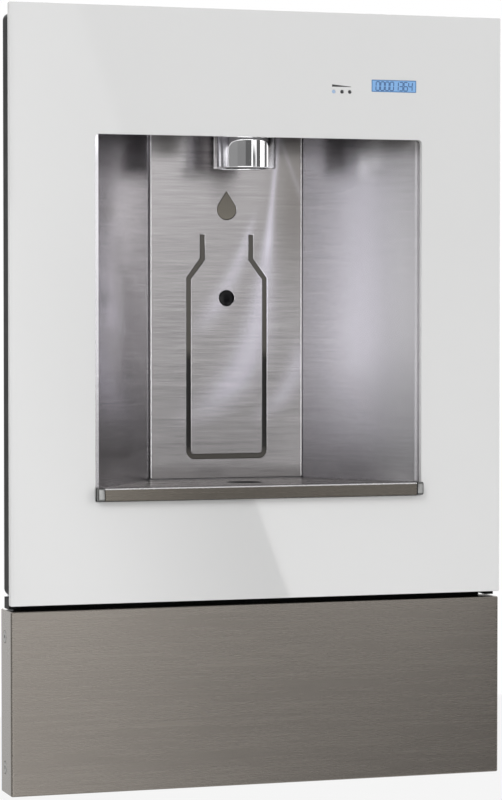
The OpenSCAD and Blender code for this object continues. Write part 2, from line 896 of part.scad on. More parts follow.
module chassis_sides() {
    z = [chassis_low, chassis_high];
    color("gainsboro") from_base() difference() {
        union() {
            difference() {
                along_z(z) side_plan(galv_t);
                along_z(z + [-1, 1]) side_plan(0);
                slab([-lip_half, lip_half], [-5, chassis_depth + 1], z + [-1, 1]);
            }
            both_sides() slab([inner_half, chassis_half + flange_w], [-galv_t, 0], z);
            both_sides() hang_hook();
        }
        both_sides() slab(hook_x, [-galv_t - 1, 1], [hook_z - 18.5, hook_z - galv_t]);
        at_rivets(rivet_zs) rivet_hole();
        at_back_rivets() rivet_hole();
        for (side = [-1, 1], dy = [-0.5, 0.5], dz = [-0.5, 0.5])
            rod_x(about(side * chassis_half, 3), stud_y + dy * stud_dy, stud_z + dz * stud_dz, 2.5);
        rod_x([inner_half - 3, chassis_half + 3], 48, 110, 11.1);
    }
}

// A plate behind the lips of the sides, with a pressed panel that stiffens it
module chassis_back() {
    color("gainsboro") from_base() difference() {
        union() {
            slab([-back_half, back_half], [inner_back_y, lip_y], [chassis_low, chassis_high]);
            along_y([panel_y, lip_y])
                round_rect([-panel_half, panel_half], [panel_low, panel_high], 12);
        }
        along_y([panel_y + galv_t, chassis_depth])
            round_rect(
                [-panel_half + galv_t, panel_half - galv_t],
                [panel_low + galv_t, panel_high - galv_t], 12 - galv_t);
        at_back_rivets() rivet_hole();
        rod_y(0, [90, 100], 62, 26);
    }
}

module pan_plate(z, up) {
    flange_z = up ? [z, z + galv_t + 9] : [z - bottom_flange_h, z + galv_t];
    lip_z = up ? [z - lip, z] : [z + galv_t, z + galv_t + lip];
    over = 0.5 * galv_t;
    shelf_plate([-galv_t, inner_back_y], [z, z + galv_t]);
    slab([-inner_half, inner_half], [-galv_t, 0], flange_z);
    both_sides() slab([inner_half - galv_t, inner_half], [4, 92], lip_z + [-over, over]);
    slab([-166, 166], [inner_back_y - galv_t, inner_back_y], lip_z + [-over, over]);
}

module chassis_top() {
    color("gainsboro") from_base() difference() {
        pan_plate(chassis_high - galv_t, true);
        at_rivets([rivet_zs[3]]) rivet_hole();
    }
}

module chassis_bottom() {
    color("gainsboro") from_base() difference() {
        pan_plate(chassis_low, false);
        at_rivets([rivet_zs[0]]) rivet_hole();
        rod_z(0, drain_y, [10, 30], 25);
        rod_z(valve_x, valve_y, [10, 30], 11.1);
        rod_z(bushing_xy[0], bushing_xy[1], [10, 30], 11.05);
    }
}

module alcove_shelf() {
    z = [shelf_h, shelf_h + galv_t];
    color("gainsboro") from_base() difference() {
        union() {
            shelf_plate([4, inner_back_y], z);
            both_sides() slab([inner_half - galv_t, inner_half], [6, 94], [z[0] - lip, z[1]]);
            slab([-inner_half, inner_half], [4, 4 + galv_t], [z[0] - 8, z[1]]);
        }
        rod_z(0, drain_y, [z[0] - 10, z[1] + 1], 36);
        rod_z(head_out[0], head_out[1], [z[0] - 1, z[1] + 1], 10.5);
        for (p = [coil_lead_xy, sensor_lead_xy, display_lead_xy])
            rod_z(p[0], p[1], [z[0] - 1, z[1] + 1], 4.6);
        both_sides() for (f = feet) rod_z(f[0], f[1], [z[0] - 1, z[1] + 1], 2.2);
        for (p = head_screws) rod_z(p[0], p[1], [z[0] - 1, z[1] + 1], 2.2);
        at_rivets([rivet_zs[1]]) rivet_hole();
    }
}

head_screws = [[-146, 26], [-146, 78]];

module pan_screws() {
    color("silver") from_base() {
        both_sides() translate([carrier_screw_x, carrier_screw_y, carrier_low - galv_t]) pan_screw();
        both_sides() for (f = feet) translate([f[0], f[1], shelf_h]) pan_screw();
        for (p = head_screws)
            translate([p[0], p[1], shelf_h + galv_t]) mirror([0, 0, 1]) pan_screw();
    }
}

// Water path

module inlet_valve() {
    neck_y = [30, valve_y];
    color("goldenrod") from_base() difference() {
        union() {
            rod_z(valve_x, valve_y, [40, 57], inlet_d / 2);
            rod_z(valve_x, valve_y, [56, 66], 9);
            rod_z(valve_x, valve_y, [60, 64], 13);
            rod_z(valve_x, valve_y, [64, 92], 12);
            rod_z(valve_x, valve_y, [91, 104], 8);
            rod_z(valve_x, valve_y, [103, 107], 6);
            rod_y(valve_x, neck_y, valve_stem_h, 9);
        }
        rod_z(valve_x, valve_y, [39, 70], 4);
        rod_z(valve_x, valve_y, [93, 108], tube_d / 2 + bore_gap);
        rod_y(valve_x, [neck_y[0] - 1, 44], valve_stem_h, 4 + bore_gap);
    }
}

module valve_handle() {
    y = [10, 20];
    reach = 13;
    color("firebrick") from_base() {
        translate([valve_x, 0, valve_stem_h]) along_y(y) {
            translate([-reach, -7]) square([2 * reach, 14]);
            both_sides() translate([reach, 0]) circle(7);
        }
        rod_y(valve_x, [y[0] - 1.5, y[0] + 1], valve_stem_h, 5);
        rod_y(valve_x, [y[1] - 1, 29.4], valve_stem_h, 6);
        rod_y(valve_x, [y[1] - 1, 42], valve_stem_h, 4);
    }
}

module valve_bracket() {
    x = [valve_x - 16, valve_x + 16];
    t = 2;
    color("silver") from_base() difference() {
        union() {
            slab(x, [inner_back_y - t, inner_back_y], [44, 96]);
            slab(x, [34, inner_back_y], [60 - t, 60]);
            for (gx = [x[0], x[1] - t]) along_x([gx, gx + t]) polygon([
                [inner_back_y - 1, 59], [inner_back_y - 1, 94], [44, 59]
            ]);
        }
        rod_z(valve_x, valve_y, [56, 61], 9.1);
    }
}

module inlet_tube() {
    color("aliceblue") from_base() tube_run(
        [[valve_x, valve_y, 94], [valve_x, valve_y, port_h], [-82, valve_y, port_h]],
        tube_d, tube_bend, 4.2);
}

module filter_head() {
    block_y = [16, 88];
    color("gainsboro") from_base() difference() {
        union() {
            along_z([neck_low + 20, head_top])
                round_rect([filter_x - 36, filter_x + 36], block_y, 10);
            rod_z(filter_x, filter_y, [neck_low, neck_low + 22], 39.5);
            rod_x([filter_x + 30, filter_x + 46], valve_y, port_h, 8);
            rod_x([filter_x + 45, filter_x + 49], valve_y, port_h, 6);
            rod_z(head_out[0], head_out[1], [head_top - 1, head_top + 8], 8);
            rod_z(head_out[0], head_out[1], [head_top + 7, head_top + 11], 6);
        }
        translate([filter_x, filter_y, neck_low]) {
            translate([0, 0, -1]) cylinder(h = 30, r = 20.5);
            translate([0, 0, 11.6]) cylinder(h = 5.4, r = 24.6);
            translate([-5.6, -23.8, -1]) cube([11.2, 47.6, 13]);
        }
        rod_x([filter_x + 36, filter_x + 50], valve_y, port_h, tube_d / 2 + bore_gap);
        rod_z(head_out[0], head_out[1], [head_top - 4, head_top + 12], tube_d / 2 + bore_gap);
        for (p = head_screws) rod_z(p[0], p[1], [head_top - 10, head_top + 1], screw_hole_r);
    }
}

module filter_cartridge() {
    r = cartridge_d / 2;
    top = neck_low - 0.5;
    edge = 8;
    ribs = 24;
    color("white") from_base() translate([filter_x, filter_y, 0]) {
        difference() {
            union() {
                rotate_extrude() {
                    translate([0, cartridge_low]) square([r - edge, top - cartridge_low]);
                    translate([0, cartridge_low + edge])
                        square([r, top - cartridge_low - 2 * edge]);
                    for (z = [cartridge_low + edge, top - edge])
                        translate([r - edge, z]) intersection() {
                            circle(edge);
                            translate([-1, -2 * edge]) square([2 * edge, 4 * edge]);
                        }
                }
                translate([0, 0, top - 1]) cylinder(h = 28.5, r = 20);
            }
            for (z = seal_zs) translate([0, 0, z]) rotate_extrude()
                translate([18.4, -1.2]) square([3, 2.4]);
            translate([0, 0, top + 5]) cylinder(h = 30, r = 12);
        }
        intersection() {
            translate([-23.8, -5, neck_low + 12]) cube([47.6, 10, 4.4]);
            difference() {
                translate([0, 0, neck_low]) cylinder(h = 20, r = 23.8);
                translate([0, 0, neck_low - 1]) cylinder(h = 22, r = 19);
            }
        }
        for (k = [0:ribs - 1]) rotate(360 * k / ribs)
            translate([r - 1.2, 0, cartridge_low + edge + 3]) cylinder(h = 26, r = 2);
    }
}

seal_zs = [neck_low + 20, neck_low + 24.4];

module filter_seals() {
    color("black") from_base() for (z = seal_zs) translate([filter_x, filter_y, z])
        rotate_extrude() translate([19.42, 0]) circle(1);
}

module filtered_tube() {
    color("aliceblue") from_base() tube_run(
        [[head_out[0], head_out[1], head_top], [head_out[0], head_out[1], solenoid_h - 12]],
        tube_d, tube_bend, 4.2);
}

plunger_low = solenoid_h + 7;
core_low = solenoid_h + 39;

module solenoid_body() {
    x = about(solenoid_x, 23);
    top = solenoid_h + 11;
    color("goldenrod") from_base() difference() {
        union() {
            along_z([solenoid_h - 11, top])
                round_rect(x, about(solenoid_y, 17), 4);
            slab([solenoid_x - 15, solenoid_x + 15], [solenoid_y + 10, panel_y],
                [solenoid_h - 9, solenoid_h + 9]);
            rod_z(solenoid_x, solenoid_y, [top - 1, top + 48], 7);
        }
        rod_z(solenoid_x, solenoid_y, [plunger_low - 0.2, core_low], 5 + bore_gap);
        rod_z(solenoid_x, solenoid_y, [solenoid_h - 3, plunger_low], 2.5);
        for (side = [-1, 1])
            rod_x(about(solenoid_x + side * 18, 6), solenoid_y, solenoid_h, 5 + bore_gap);
    }
}

module solenoid_coil() {
    z = [solenoid_h + 11, solenoid_h + 55];
    color("darkslategray") from_base() difference() {
        union() {
            rod_z(solenoid_x, solenoid_y, [z[0] + 1, z[1] - 1], coil_d / 2);
            for (p = [z[0], z[1] - 2])
                slab(about(solenoid_x, 20), about(solenoid_y, 12), [p, p + 2]);
            slab([solenoid_x - 20, solenoid_x - 18.2], about(solenoid_y, 12), z);
            slab([solenoid_x + 14, solenoid_x + 34], [solenoid_y + 4, solenoid_y + 16],
                [solenoid_h + 23, solenoid_h + 41]);
        }
        rod_z(solenoid_x, solenoid_y, z + [-1, 1], 7 + bore_gap);
    }
}

module solenoid_plunger() {
    color("silver") from_base() difference() {
        rod_z(solenoid_x, solenoid_y, [plunger_low, plunger_low + 26], 5);
        rod_z(solenoid_x, solenoid_y, [plunger_low + 16, plunger_low + 27], 3.4);
    }
}

// One turned wire from the plunger's recess to the fixed core
spring_z = [plunger_low + 16.1, core_low];
spring_r = 2.6;
spring_wire = 0.7;
spring_turns = 7;
spring_steps = 16;
spring_sides = 6;

function spring_point(i, k) =
    let (
        total = spring_turns * spring_steps,
        a = 360 * i / spring_steps,
        b = 360 * k / spring_sides,
        rr = spring_r + spring_wire / 2 * cos(b),
        low = spring_z[0] + spring_wire / 2,
        high = spring_z[1] - spring_wire / 2
    ) [rr * cos(a), rr * sin(a), low + (high - low) * i / total + spring_wire / 2 * sin(b)];

module plunger_spring() {
    total = spring_turns * spring_steps;
    n = spring_sides;
    points = [for (i = [0:total], k = [0:n - 1]) spring_point(i, k)];
    sides = [
        for (i = [0:total - 1], k = [0:n - 1])
            each let (a = i * n + k, b = i * n + (k + 1) % n) [[a, b, b + n], [a, b + n, a + n]]
    ];
    ends = [
        for (k = [1:n - 2])
            each [[0, k + 1, k], [total * n, total * n + k, total * n + k + 1]]
    ];
    color("silver") from_base() translate([solenoid_x, solenoid_y, 0])
        polyhedron(points, concat(sides, ends));
}

module elbow_fitting(side) {
    turn_x = solenoid_x + side * elbow_reach;
    arm = side > 0 ? [solenoid_x + 16, turn_x] : [turn_x, solenoid_x - 16];
    outer = side > 0 ? [solenoid_x + 23, turn_x] : [turn_x, solenoid_x - 23];
    up = -side;
    leg = up > 0 ? [solenoid_h, solenoid_h + 20] : [solenoid_h - 20, solenoid_h];
    collet = up > 0 ? [solenoid_h + 19, solenoid_h + 23] : [solenoid_h - 23, solenoid_h - 19];
    mouth = up > 0 ? [solenoid_h + 12, solenoid_h + 24] : [solenoid_h - 24, solenoid_h - 12];
    difference() {
        union() {
            rod_x(arm, solenoid_y, solenoid_h, 5);
            rod_x(outer, solenoid_y, solenoid_h, 7.5);
            translate([turn_x, solenoid_y, solenoid_h]) sphere(7.5);
            rod_z(turn_x, solenoid_y, leg, 7.5);
            rod_z(turn_x, solenoid_y, collet, 5.5);
        }
        rod_z(turn_x, solenoid_y, mouth, tube_d / 2 + bore_gap);
    }
}

module solenoid_elbows() {
    color("gainsboro") from_base() for (side = [-1, 1]) elbow_fitting(side);
}

module regulator_tube() {
    x = solenoid_x - elbow_reach;
    color("aliceblue") from_base() tube_run(
        [[x, solenoid_y, solenoid_h + 12], [x, solenoid_y, tube_run_h],
            [regulator_x[0] + 10, solenoid_y, tube_run_h]],
        tube_d, tube_bend, 4.2);
}

module flow_regulator() {
    color("gainsboro") from_base() difference() {
        union() {
            rod_x(regulator_x, solenoid_y, tube_run_h, 6);
            rod_x(regulator_x + [3, -3], solenoid_y, tube_run_h, 8);
            rod_x([-77, -67], solenoid_y, tube_run_h, 9.5);
        }
        rod_x(regulator_x + [-1, 1], solenoid_y, tube_run_h, 2);
        rod_x([regulator_x[0] - 1, regulator_x[0] + 10], solenoid_y, tube_run_h,
            tube_d / 2 + bore_gap);
        rod_x([regulator_x[1] - 10, regulator_x[1] + 1], solenoid_y, tube_run_h,
            tube_d / 2 + bore_gap);
    }
}

module nozzle_tube() {
    color("aliceblue") from_base() tube_run(
        [[regulator_x[1] - 10, solenoid_y, tube_run_h], [0, solenoid_y, tube_run_h],
            [0, nozzle_y + 14, tube_run_h]],
        tube_d, tube_bend, 4.2);
}

// Electrics

control_front = 56;

module control_box() {
    t = 2;
    cx = control_x;
    cz = control_z;
    color("dimgray") from_base() difference() {
        union() {
            difference() {
                slab(cx, [control_front, inner_back_y], cz);
                slab(cx + [t, -t], [control_front - 1, inner_back_y - t], cz + [t, -t]);
            }
            slab(cx, [control_front - 3, control_front], cz);
            for (x = cx + [6, -6], z = cz + [6, -6])
                rod_y(x, [66, inner_back_y - 1], z, 3);
        }
        rod_y(button_x, [control_front - 4, control_front + 1], button_z, 4.1);
        for (z = [130:5:185]) slab([140, 166], [control_front - 4, control_front + 1], [z, z + 2]);
    }
}

module control_board() {
    y = 64.4;
    color("darkgreen") from_base() {
        slab(control_x + [4, -4], [y, y + 1.6], control_z + [4, -4]);
        slab(about(button_x, 3), [y - 4.4, y + 0.2], about(button_z, 3));
        slab([106, 124], [y + 1.4, y + 14], [164, 182]);
        slab([134, 154], [y + 1.4, y + 12], [134, 150]);
        for (x = [136, 148, 160]) rod_y(x, [y + 1.4, y + 13], 176, 4.5);
        slab([108, 122], [y - 2.2, y + 0.2], [164, 178]);
    }
}

module reset_button() {
    color("royalblue") from_base() {
        rod_y(button_x, [control_front - 5, control_front + 2.4], button_z, 4.05);
        rod_y(button_x, [control_front + 0.3, control_front + 1.4], button_z, 5.6);
    }
}

module power_supply() {
    x = control_x;
    z = [46, 108];
    color("dimgray") from_base() difference() {
        union() {
            along_y([54, inner_back_y - 1.5]) round_rect(x, z, 3);
            slab(x + [4, -4], [inner_back_y - 2, inner_back_y], z + [-8, 8]);
        }
        for (px = [x[0] + 14, x[1] - 14], pz = [z[0] - 4, z[1] + 4])
            rod_y(px, [90, 100], pz, 2);
        for (px = [x[0] + 12:8:x[1] - 14])
            slab([px, px + 3], [53, 55.5], z + [12, -12]);
    }
}

module cable_bushing() {
    color("black") from_base() translate([bushing_xy[0], bushing_xy[1], 0]) difference() {
        union() {
            translate([0, 0, chassis_low - 3]) cylinder(h = 3, r = 14);
            translate([0, 0, chassis_low - 1]) cylinder(h = 11, r = 11);
            translate([0, 0, chassis_low + galv_t]) cylinder(h = 4, r = 15, $fn = 6);
        }
        translate([0, 0, chassis_low - 4]) cylinder(h = 20, r = 8);
    }
}

module wiring_harness() {
    top = control_z[1];
    d = display_lead_xy;
    s = sensor_lead_xy;
    c = coil_lead_xy;
    color("black") from_base() {
        tube_run([[d[0], d[1], top], [d[0], d[1], 577], [120, d[1], 577], [120, -14, 577]],
            lead_d, lead_bend);
        tube_run([[s[0], s[1], top], [s[0], s[1], 270], [34, s[1], 270]], lead_d, lead_bend);
        tube_run([[c[0], c[1], top], [c[0], c[1], 232], [-100, c[1], 232],
            [-100, c[1], solenoid_h + 23]], lead_d, lead_bend);
        tube_run([[136, 74, 108], [136, 74, control_z[0]]], lead_d, lead_bend);
    }
}

module grommet(x, y, sheet_z, bore_r, neck) {
    translate([x, y, sheet_z]) difference() {
        union() {
            translate([0, 0, -2]) cylinder(h = 2, r = neck + 1.8);
            translate([0, 0, -1]) cylinder(h = galv_t + 2, r = neck);
            translate([0, 0, galv_t]) cylinder(h = 2, r = neck + 1.8);
        }
        translate([0, 0, -3]) cylinder(h = galv_t + 6, r = bore_r);
    }
}

module grommets() {
    lead_bore = lead_d / 2 + bore_gap;
    color("black") from_base() {
        grommet(solenoid_x - elbow_reach, solenoid_y, ceiling_h, tube_d / 2 + bore_gap, 6);
        grommet(display_lead_xy[0], display_lead_xy[1], ceiling_h, lead_bore, 4.5);
        for (p = [coil_lead_xy, sensor_lead_xy, display_lead_xy])
            grommet(p[0], p[1], shelf_h, lead_bore, 4.5);
    }
}

front_glass();
glass_carrier();
mid_rail();
lower_cover();
cover_screws();
cover_nuts();
cover_brackets();
lcd_display();
display_board();
lamp_lenses();
alcove_shell();
alcove_ceiling();
target_plate();
light_guide();
lamp_board();
sensor_lens();
sensor_housing();
nozzle_body();
aerator();
nozzle_nut();
nozzle_elbow();
drip_tray();
tray_bar();
tray_end_caps();
drain_basin();
drain_strainer();
drain_washer();
drain_locknut();
slip_nut();
drain_tailpiece();
chassis_sides();
chassis_back();
chassis_top();
chassis_bottom();
alcove_shelf();
chassis_rivets();
pan_screws();
inlet_valve();
valve_handle();
valve_bracket();
inlet_tube();
filter_head();
filter_cartridge();
filter_seals();
filtered_tube();
solenoid_body();
solenoid_coil();
solenoid_plunger();
plunger_spring();
solenoid_elbows();
regulator_tube();
flow_regulator();
nozzle_tube();
control_box();
control_board();
reset_button();
power_supply();
cable_bushing();
wiring_harness();
grommets();
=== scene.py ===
# Looks of the in-wall bottle filling station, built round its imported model.
# Shapes are in millimetres, with heights above the trim's bottom edge, and piece() turns them into metres. Materials,
# camera, light and stage are in metres from the frame's origin.
import json
import math

import bpy
import numpy as np
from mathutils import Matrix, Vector
from mathutils.geometry import tessellate_polygon


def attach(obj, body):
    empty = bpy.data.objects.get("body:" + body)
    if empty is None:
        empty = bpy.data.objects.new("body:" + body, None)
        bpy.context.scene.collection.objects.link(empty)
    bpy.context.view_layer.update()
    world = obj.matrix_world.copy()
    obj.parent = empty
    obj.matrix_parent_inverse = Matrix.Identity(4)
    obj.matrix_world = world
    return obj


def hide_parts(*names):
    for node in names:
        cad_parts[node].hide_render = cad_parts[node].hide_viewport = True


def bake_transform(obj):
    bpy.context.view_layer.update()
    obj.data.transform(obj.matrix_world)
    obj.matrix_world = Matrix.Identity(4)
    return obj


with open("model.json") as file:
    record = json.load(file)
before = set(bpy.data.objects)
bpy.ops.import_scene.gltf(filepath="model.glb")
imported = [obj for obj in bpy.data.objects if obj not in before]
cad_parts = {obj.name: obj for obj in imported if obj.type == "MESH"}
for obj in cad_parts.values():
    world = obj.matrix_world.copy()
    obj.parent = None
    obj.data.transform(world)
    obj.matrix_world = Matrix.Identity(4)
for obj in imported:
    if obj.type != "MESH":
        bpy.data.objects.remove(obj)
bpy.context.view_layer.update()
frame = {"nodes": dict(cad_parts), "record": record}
print("frame loaded:", len(frame["nodes"]), "nodes")

mm = 0.001
trimFoot = -0.015        # the trim's bottom edge below the origin


def inMetres(points):
    return np.asarray(points) * mm + [0, 0, trimFoot]


def linked(name, data):
    made = bpy.data.objects.new(name, data)
    bpy.context.scene.collection.objects.link(made)
    return made


# Camera

cameraSetup = dict(
    place=(-0.74864, -2.28066, 0.37405),
    turn=math.radians(18.22),      # to the right of +Y
    dip=math.radians(1.72),        # below the horizon
    focalPixels=2875.2,
    longSidePixels=800,
    sensor=36.0,
    farthest=60,
)


def makeCamera(c):
    data = bpy.data.cameras.new("camera")
    data.sensor_width = c["sensor"]
    data.lens = c["sensor"] * c["focalPixels"] / c["longSidePixels"]
    data.clip_end = c["farthest"]
    camera = linked("camera", data)
    camera.location = c["place"]
    camera.rotation_euler = (math.pi / 2 - c["dip"], 0, -c["turn"])
    bpy.context.scene.camera = camera


makeCamera(cameraSetup)
bpy.context.scene.view_settings.view_transform = "Standard"


# Node trees

def tinted(colour, factor):
    return tuple(c * factor for c in colour)


class Graph:
    # a small helper that adds shader nodes and joins them
    def __init__(self, tree):
        self.tree = tree
        tree.nodes.clear()

    def add(self, kind, settings=None, **inputs):
        node = self.tree.nodes.new("ShaderNode" + kind)
        for key, value in (settings or {}).items():
            setattr(node, key, value)
        for key, value in inputs.items():
            self.feed(node, key, value)
        return node

    def feed(self, node, key, value):
        # the key is a socket's name without its spaces, or i and the socket's number
        names = [s.name.replace(" ", "").lower() for s in node.inputs]
        socket = node.inputs[int(key[1:]) if key[0] == "i" and key[1:].isdigit() else names.index(key.lower())]
        if isinstance(value, bpy.types.Node):
            value = value.outputs[0]
        if isinstance(value, bpy.types.NodeSocket):
            self.tree.links.new(value, socket)
        elif hasattr(value, "__len__") and len(value) == 3 and socket.type == "RGBA":
            socket.default_value = (*value, 1.0)
        else:
            socket.default_value = value

    def maths(self, operation, a, b=0.0):
        return self.add("Math", dict(operation=operation), i0=a, i1=b)

    def plus(self, a, b):
        return self.maths("ADD", a, b)

    def times(self, a, b):
        return self.maths("MULTIPLY", a, b)

    def between(self, a, b, share):
        # a plus share times the way from a to b
        return self.plus(a, self.times(self.maths("SUBTRACT", b, a), share))

    def mapped(self, value, start, end, low=0.0, high=1.0, kind="LINEAR"):
        return self.add("MapRange", dict(interpolation_type=kind), i0=value, i1=start, i2=end, i3=low, i4=high)

    def rise(self, value, start, end):
        # a smooth step from nought at start to one at end
        return self.mapped(value, start, end, kind="SMOOTHSTEP")

    def inside(self, value, start, end, soft):
        return self.times(self.rise(value, start - soft, start + soft), self.rise(value, end + soft, end - soft))

    def point(self):
        return self.add("TexCoord").outputs["Object"]

    def axes(self):
        return self.add("SeparateXYZ", i0=self.point()).outputs

    def noise(self, scale, detail, shift=(0.0, 0.0, 0.0), **inputs):
        # one scale, or three for X, Y and Z
        point = self.point()
        if isinstance(scale, tuple):
            point, scale = self.add("Mapping", i0=point, i1=shift, i3=scale), 1.0
        return self.add("TexNoise", Vector=point, Scale=scale, Detail=detail, **inputs)

    def ramp(self, factor, stops):
        node = self.add("ValToRGB", i0=factor)
        ramp = node.color_ramp
        while len(ramp.elements) < len(stops):
            ramp.elements.new(0.5)
        for element, (place, tone) in zip(ramp.elements, stops):
            element.position = place
            element.color = (*tone, 1.0) if hasattr(tone, "__len__") else (tone, tone, tone, 1.0)
        return node

    def tones(self, factor, colour, low, high):
        # low and high times the colour, at the factor's usual ends
        return self.ramp(factor, [(0.3, tinted(colour, low)), (0.7, tinted(colour, high))])

    def steps(self, value, rows):
        # brightness from a short list of (height, tone), straight between them
        top = max(tone for height, tone in rows)
        low, high = rows[0][0], rows[-1][0]
        share = self.mapped(value, low, high)
        return self.times(self.ramp(share, [((height - low) / (high - low), tone / top) for height, tone in rows]), top)

    def mix(self, a, b, factor, blend="MIX"):
        return self.add("Mix", dict(data_type="RGBA", blend_type=blend), i0=factor, i6=a, i7=b).outputs[2]

    def bump(self, height, distance, strength=1.0, **inputs):
        return self.add("Bump", Strength=strength, Distance=distance, Height=height, **inputs)

    def softEdge(self, radius=0.35 * mm):
        # rounds the shading of a sharp edge over a small radius
        return self.add("Bevel", dict(samples=3), Radius=radius)

    def surface(self, **inputs):
        self.add("OutputMaterial", Surface=self.add("BsdfPrincipled", **inputs))


def newMaterial(name):
    material = bpy.data.materials.new(name)
    material.use_nodes = True
    return material, Graph(material.node_tree)


# Materials

def paintedLightBands(g, tone, rows):
    # painted light and shade in soft bands: a bell curve across x = a polynomial in z
    x, y, z = g.axes()
    for curve, widths, (low, high), fade, strength, colour in rows:
        middle = curve[-1]
        for term in curve[-2::-1]:
            middle = g.plus(g.times(z, middle), term)
        off = g.maths("DIVIDE", g.maths("SUBTRACT", x, middle), g.between(*widths, g.rise(z, low, high)))
        bell = g.maths("EXPONENT", g.times(g.times(off, off), -1.0))
        shown = g.times(g.rise(z, low, low + fade), g.rise(z, high, high - fade))
        tone = g.mix(tone, colour, g.times(g.times(bell, shown), strength))
    return tone


def brushed(name, colour, roughness=0.26, anisotropy=0.7, brush=(18, 900, 900), radial="Z", colourSpread=0.06,
            roughSpread=0.05, grooves=0.006 * mm, bow=None, lowShade=None, bands=None):
    # long noise strokes shift the colour, the roughness and the grooves' height together
    material, g = newMaterial(name)
    fine = g.noise(brush, 5.0, Roughness=0.62)
    coarse = g.noise(tinted(brush, 0.23), 3.0)
    both = g.plus(g.times(fine, 0.7), g.times(coarse, 0.3))
    tone = g.tones(both, colour, 1 - colourSpread, 1 + colourSpread)
    # painted light and shade in bands, when given
    if bands:
        tone = paintedLightBands(g, tone, bands)
    # painted shade: the tone grows darker toward the bottom
    if lowShade:
        start, end, least = lowShade
        tone = g.mix(tone, g.between(least, 1.0, g.rise(g.axes()[2], start, end)), 1.0, "MULTIPLY")
    rough = g.mapped(both, 0.3, 0.7, roughness - roughSpread, roughness + roughSpread)
    bump = g.bump(both, grooves)
    if bow:
        depth, scale = bow
        wave = g.noise((scale, scale, 0.6 * scale), 1.0, shift=(0.3, 0.1, 0.7))
        g.feed(bump, "Normal", g.bump(wave, depth))
    g.surface(BaseColor=tone, Metallic=1.0, Roughness=rough, Anisotropic=anisotropy, AnisotropicRotation=0.25,
              Normal=bump, Tangent=g.add("Tangent", dict(direction_type="RADIAL", axis=radial)))
    return material


def polished(name, colour, roughness):
    # chrome with faint wipe marks
    material, g = newMaterial(name)
    smear = g.noise(60.0, 4.0)
    g.surface(BaseColor=g.tones(smear, colour, 0.97, 1.0), Metallic=1.0,
              Roughness=g.mapped(smear, 0.35, 0.75, roughness, roughness * 2.4))
    return material


def galvanisedSheet(name, colour):
    # zinc crystals as cells, each with its own tone and roughness
    material, g = newMaterial(name)
    point, warp = g.point(), g.noise(60.0, 3.0).outputs["Color"]
    mixed = g.add("Mix", dict(data_type="VECTOR"), i0=0.012, i4=point, i5=warp).outputs[1]
    cells = g.add("TexVoronoi", Vector=mixed, Scale=150.0)
    split = g.add("SeparateColor", Color=cells.outputs["Color"]).outputs
    blend = g.plus(g.times(split[0], 0.75), g.times(g.noise(420.0, 5.0), 0.25))
    tone = g.ramp(blend, [(0.1, tinted(colour, 0.86)), (0.55, colour), (0.95, tinted(colour, 1.12))])
    g.surface(BaseColor=tone, Metallic=1.0, Roughness=g.mapped(split[1], 0.0, 1.0, 0.34, 0.44),
              Normal=g.bump(blend, 0.03 * mm, 0.5, Normal=g.softEdge()))
    return material


def plated(name, colour, roughness, grain=300.0, spread=0.12, metallic=1.0, **inputs):
    # zinc, brass or paint: fine grain in tone, roughness and height, with slow stains
    material, g = newMaterial(name)
    fine = g.noise(grain, 6.0, Roughness=0.6)
    both = g.plus(g.times(fine, 0.5), g.times(g.noise(grain * 0.07, 3.0), 0.5))
    g.surface(BaseColor=g.tones(both, colour, 1 - spread, 1 + spread), Metallic=metallic,
              Roughness=g.mapped(both, 0.3, 0.7, roughness * 0.85, roughness * 1.15),
              Normal=g.bump(fine, 0.02 * mm, 0.6, Normal=g.softEdge()), **inputs)
    return material


def plastic(name, colour, roughness=0.4, depth=0.02 * mm, glow=None, **inputs):
    # a fine spark-eroded texture with soft flow marks; glow is a colour and its strength
    material, g = newMaterial(name)
    if glow:
        inputs.update(EmissionColor=glow[0], EmissionStrength=glow[1])
    flow = g.noise((9, 14, 22), 2.0)
    g.surface(BaseColor=g.tones(flow, colour, 0.93, 1.05),
              Roughness=g.mapped(flow, 0.3, 0.7, roughness * 0.85, roughness * 1.15),
              Normal=g.bump(g.noise(1400.0, 3.0), depth, 0.5, Normal=g.softEdge()), **inputs)
    return material


def paintedGlass(name, colour):
    # enamel behind clear glass: an even tone with the faintest roller mottle, under a polished face
    material, g = newMaterial(name)
    g.surface(BaseColor=g.tones(g.noise(7.0, 3.0), colour, 0.992, 1.004), Roughness=0.03, IOR=1.52)
    return material


def laminate(name, colour):
    # solder mask over copper tracks: two sets of bands meet in a grid of cells
    material, g = newMaterial(name)
    cells = g.add("TexBrick", dict(offset=0.5), Vector=g.point(), Scale=140.0, MortarSize=0.06,
                  i1=colour, i2=tinted(colour, 0.8), i3=tinted(colour, 1.9))
    g.surface(BaseColor=cells, Roughness=0.22, Normal=g.bump(cells.outputs[1], 0.03 * mm, 0.4))
    return material


def smokedWithPaintedBacklight(name, dark, paintedLightTone, heights):
    # smoked plastic with a backlight painted into the colour: dark low down, paler above and again along the foot
    material, g = newMaterial(name)
    z = g.axes()[2]
    low, high, footLow, footHigh = (trimFoot + h * mm for h in heights)
    share = g.maths("MAXIMUM", g.rise(z, low, high), g.times(g.rise(z, footHigh, footLow), 0.75))
    share = g.plus(share, g.times(g.noise(300.0, 3.0), 0.05))
    g.surface(BaseColor=g.ramp(share, [(0.0, dark), (1.0, paintedLightTone)]), Roughness=0.12, IOR=1.49)
    return material
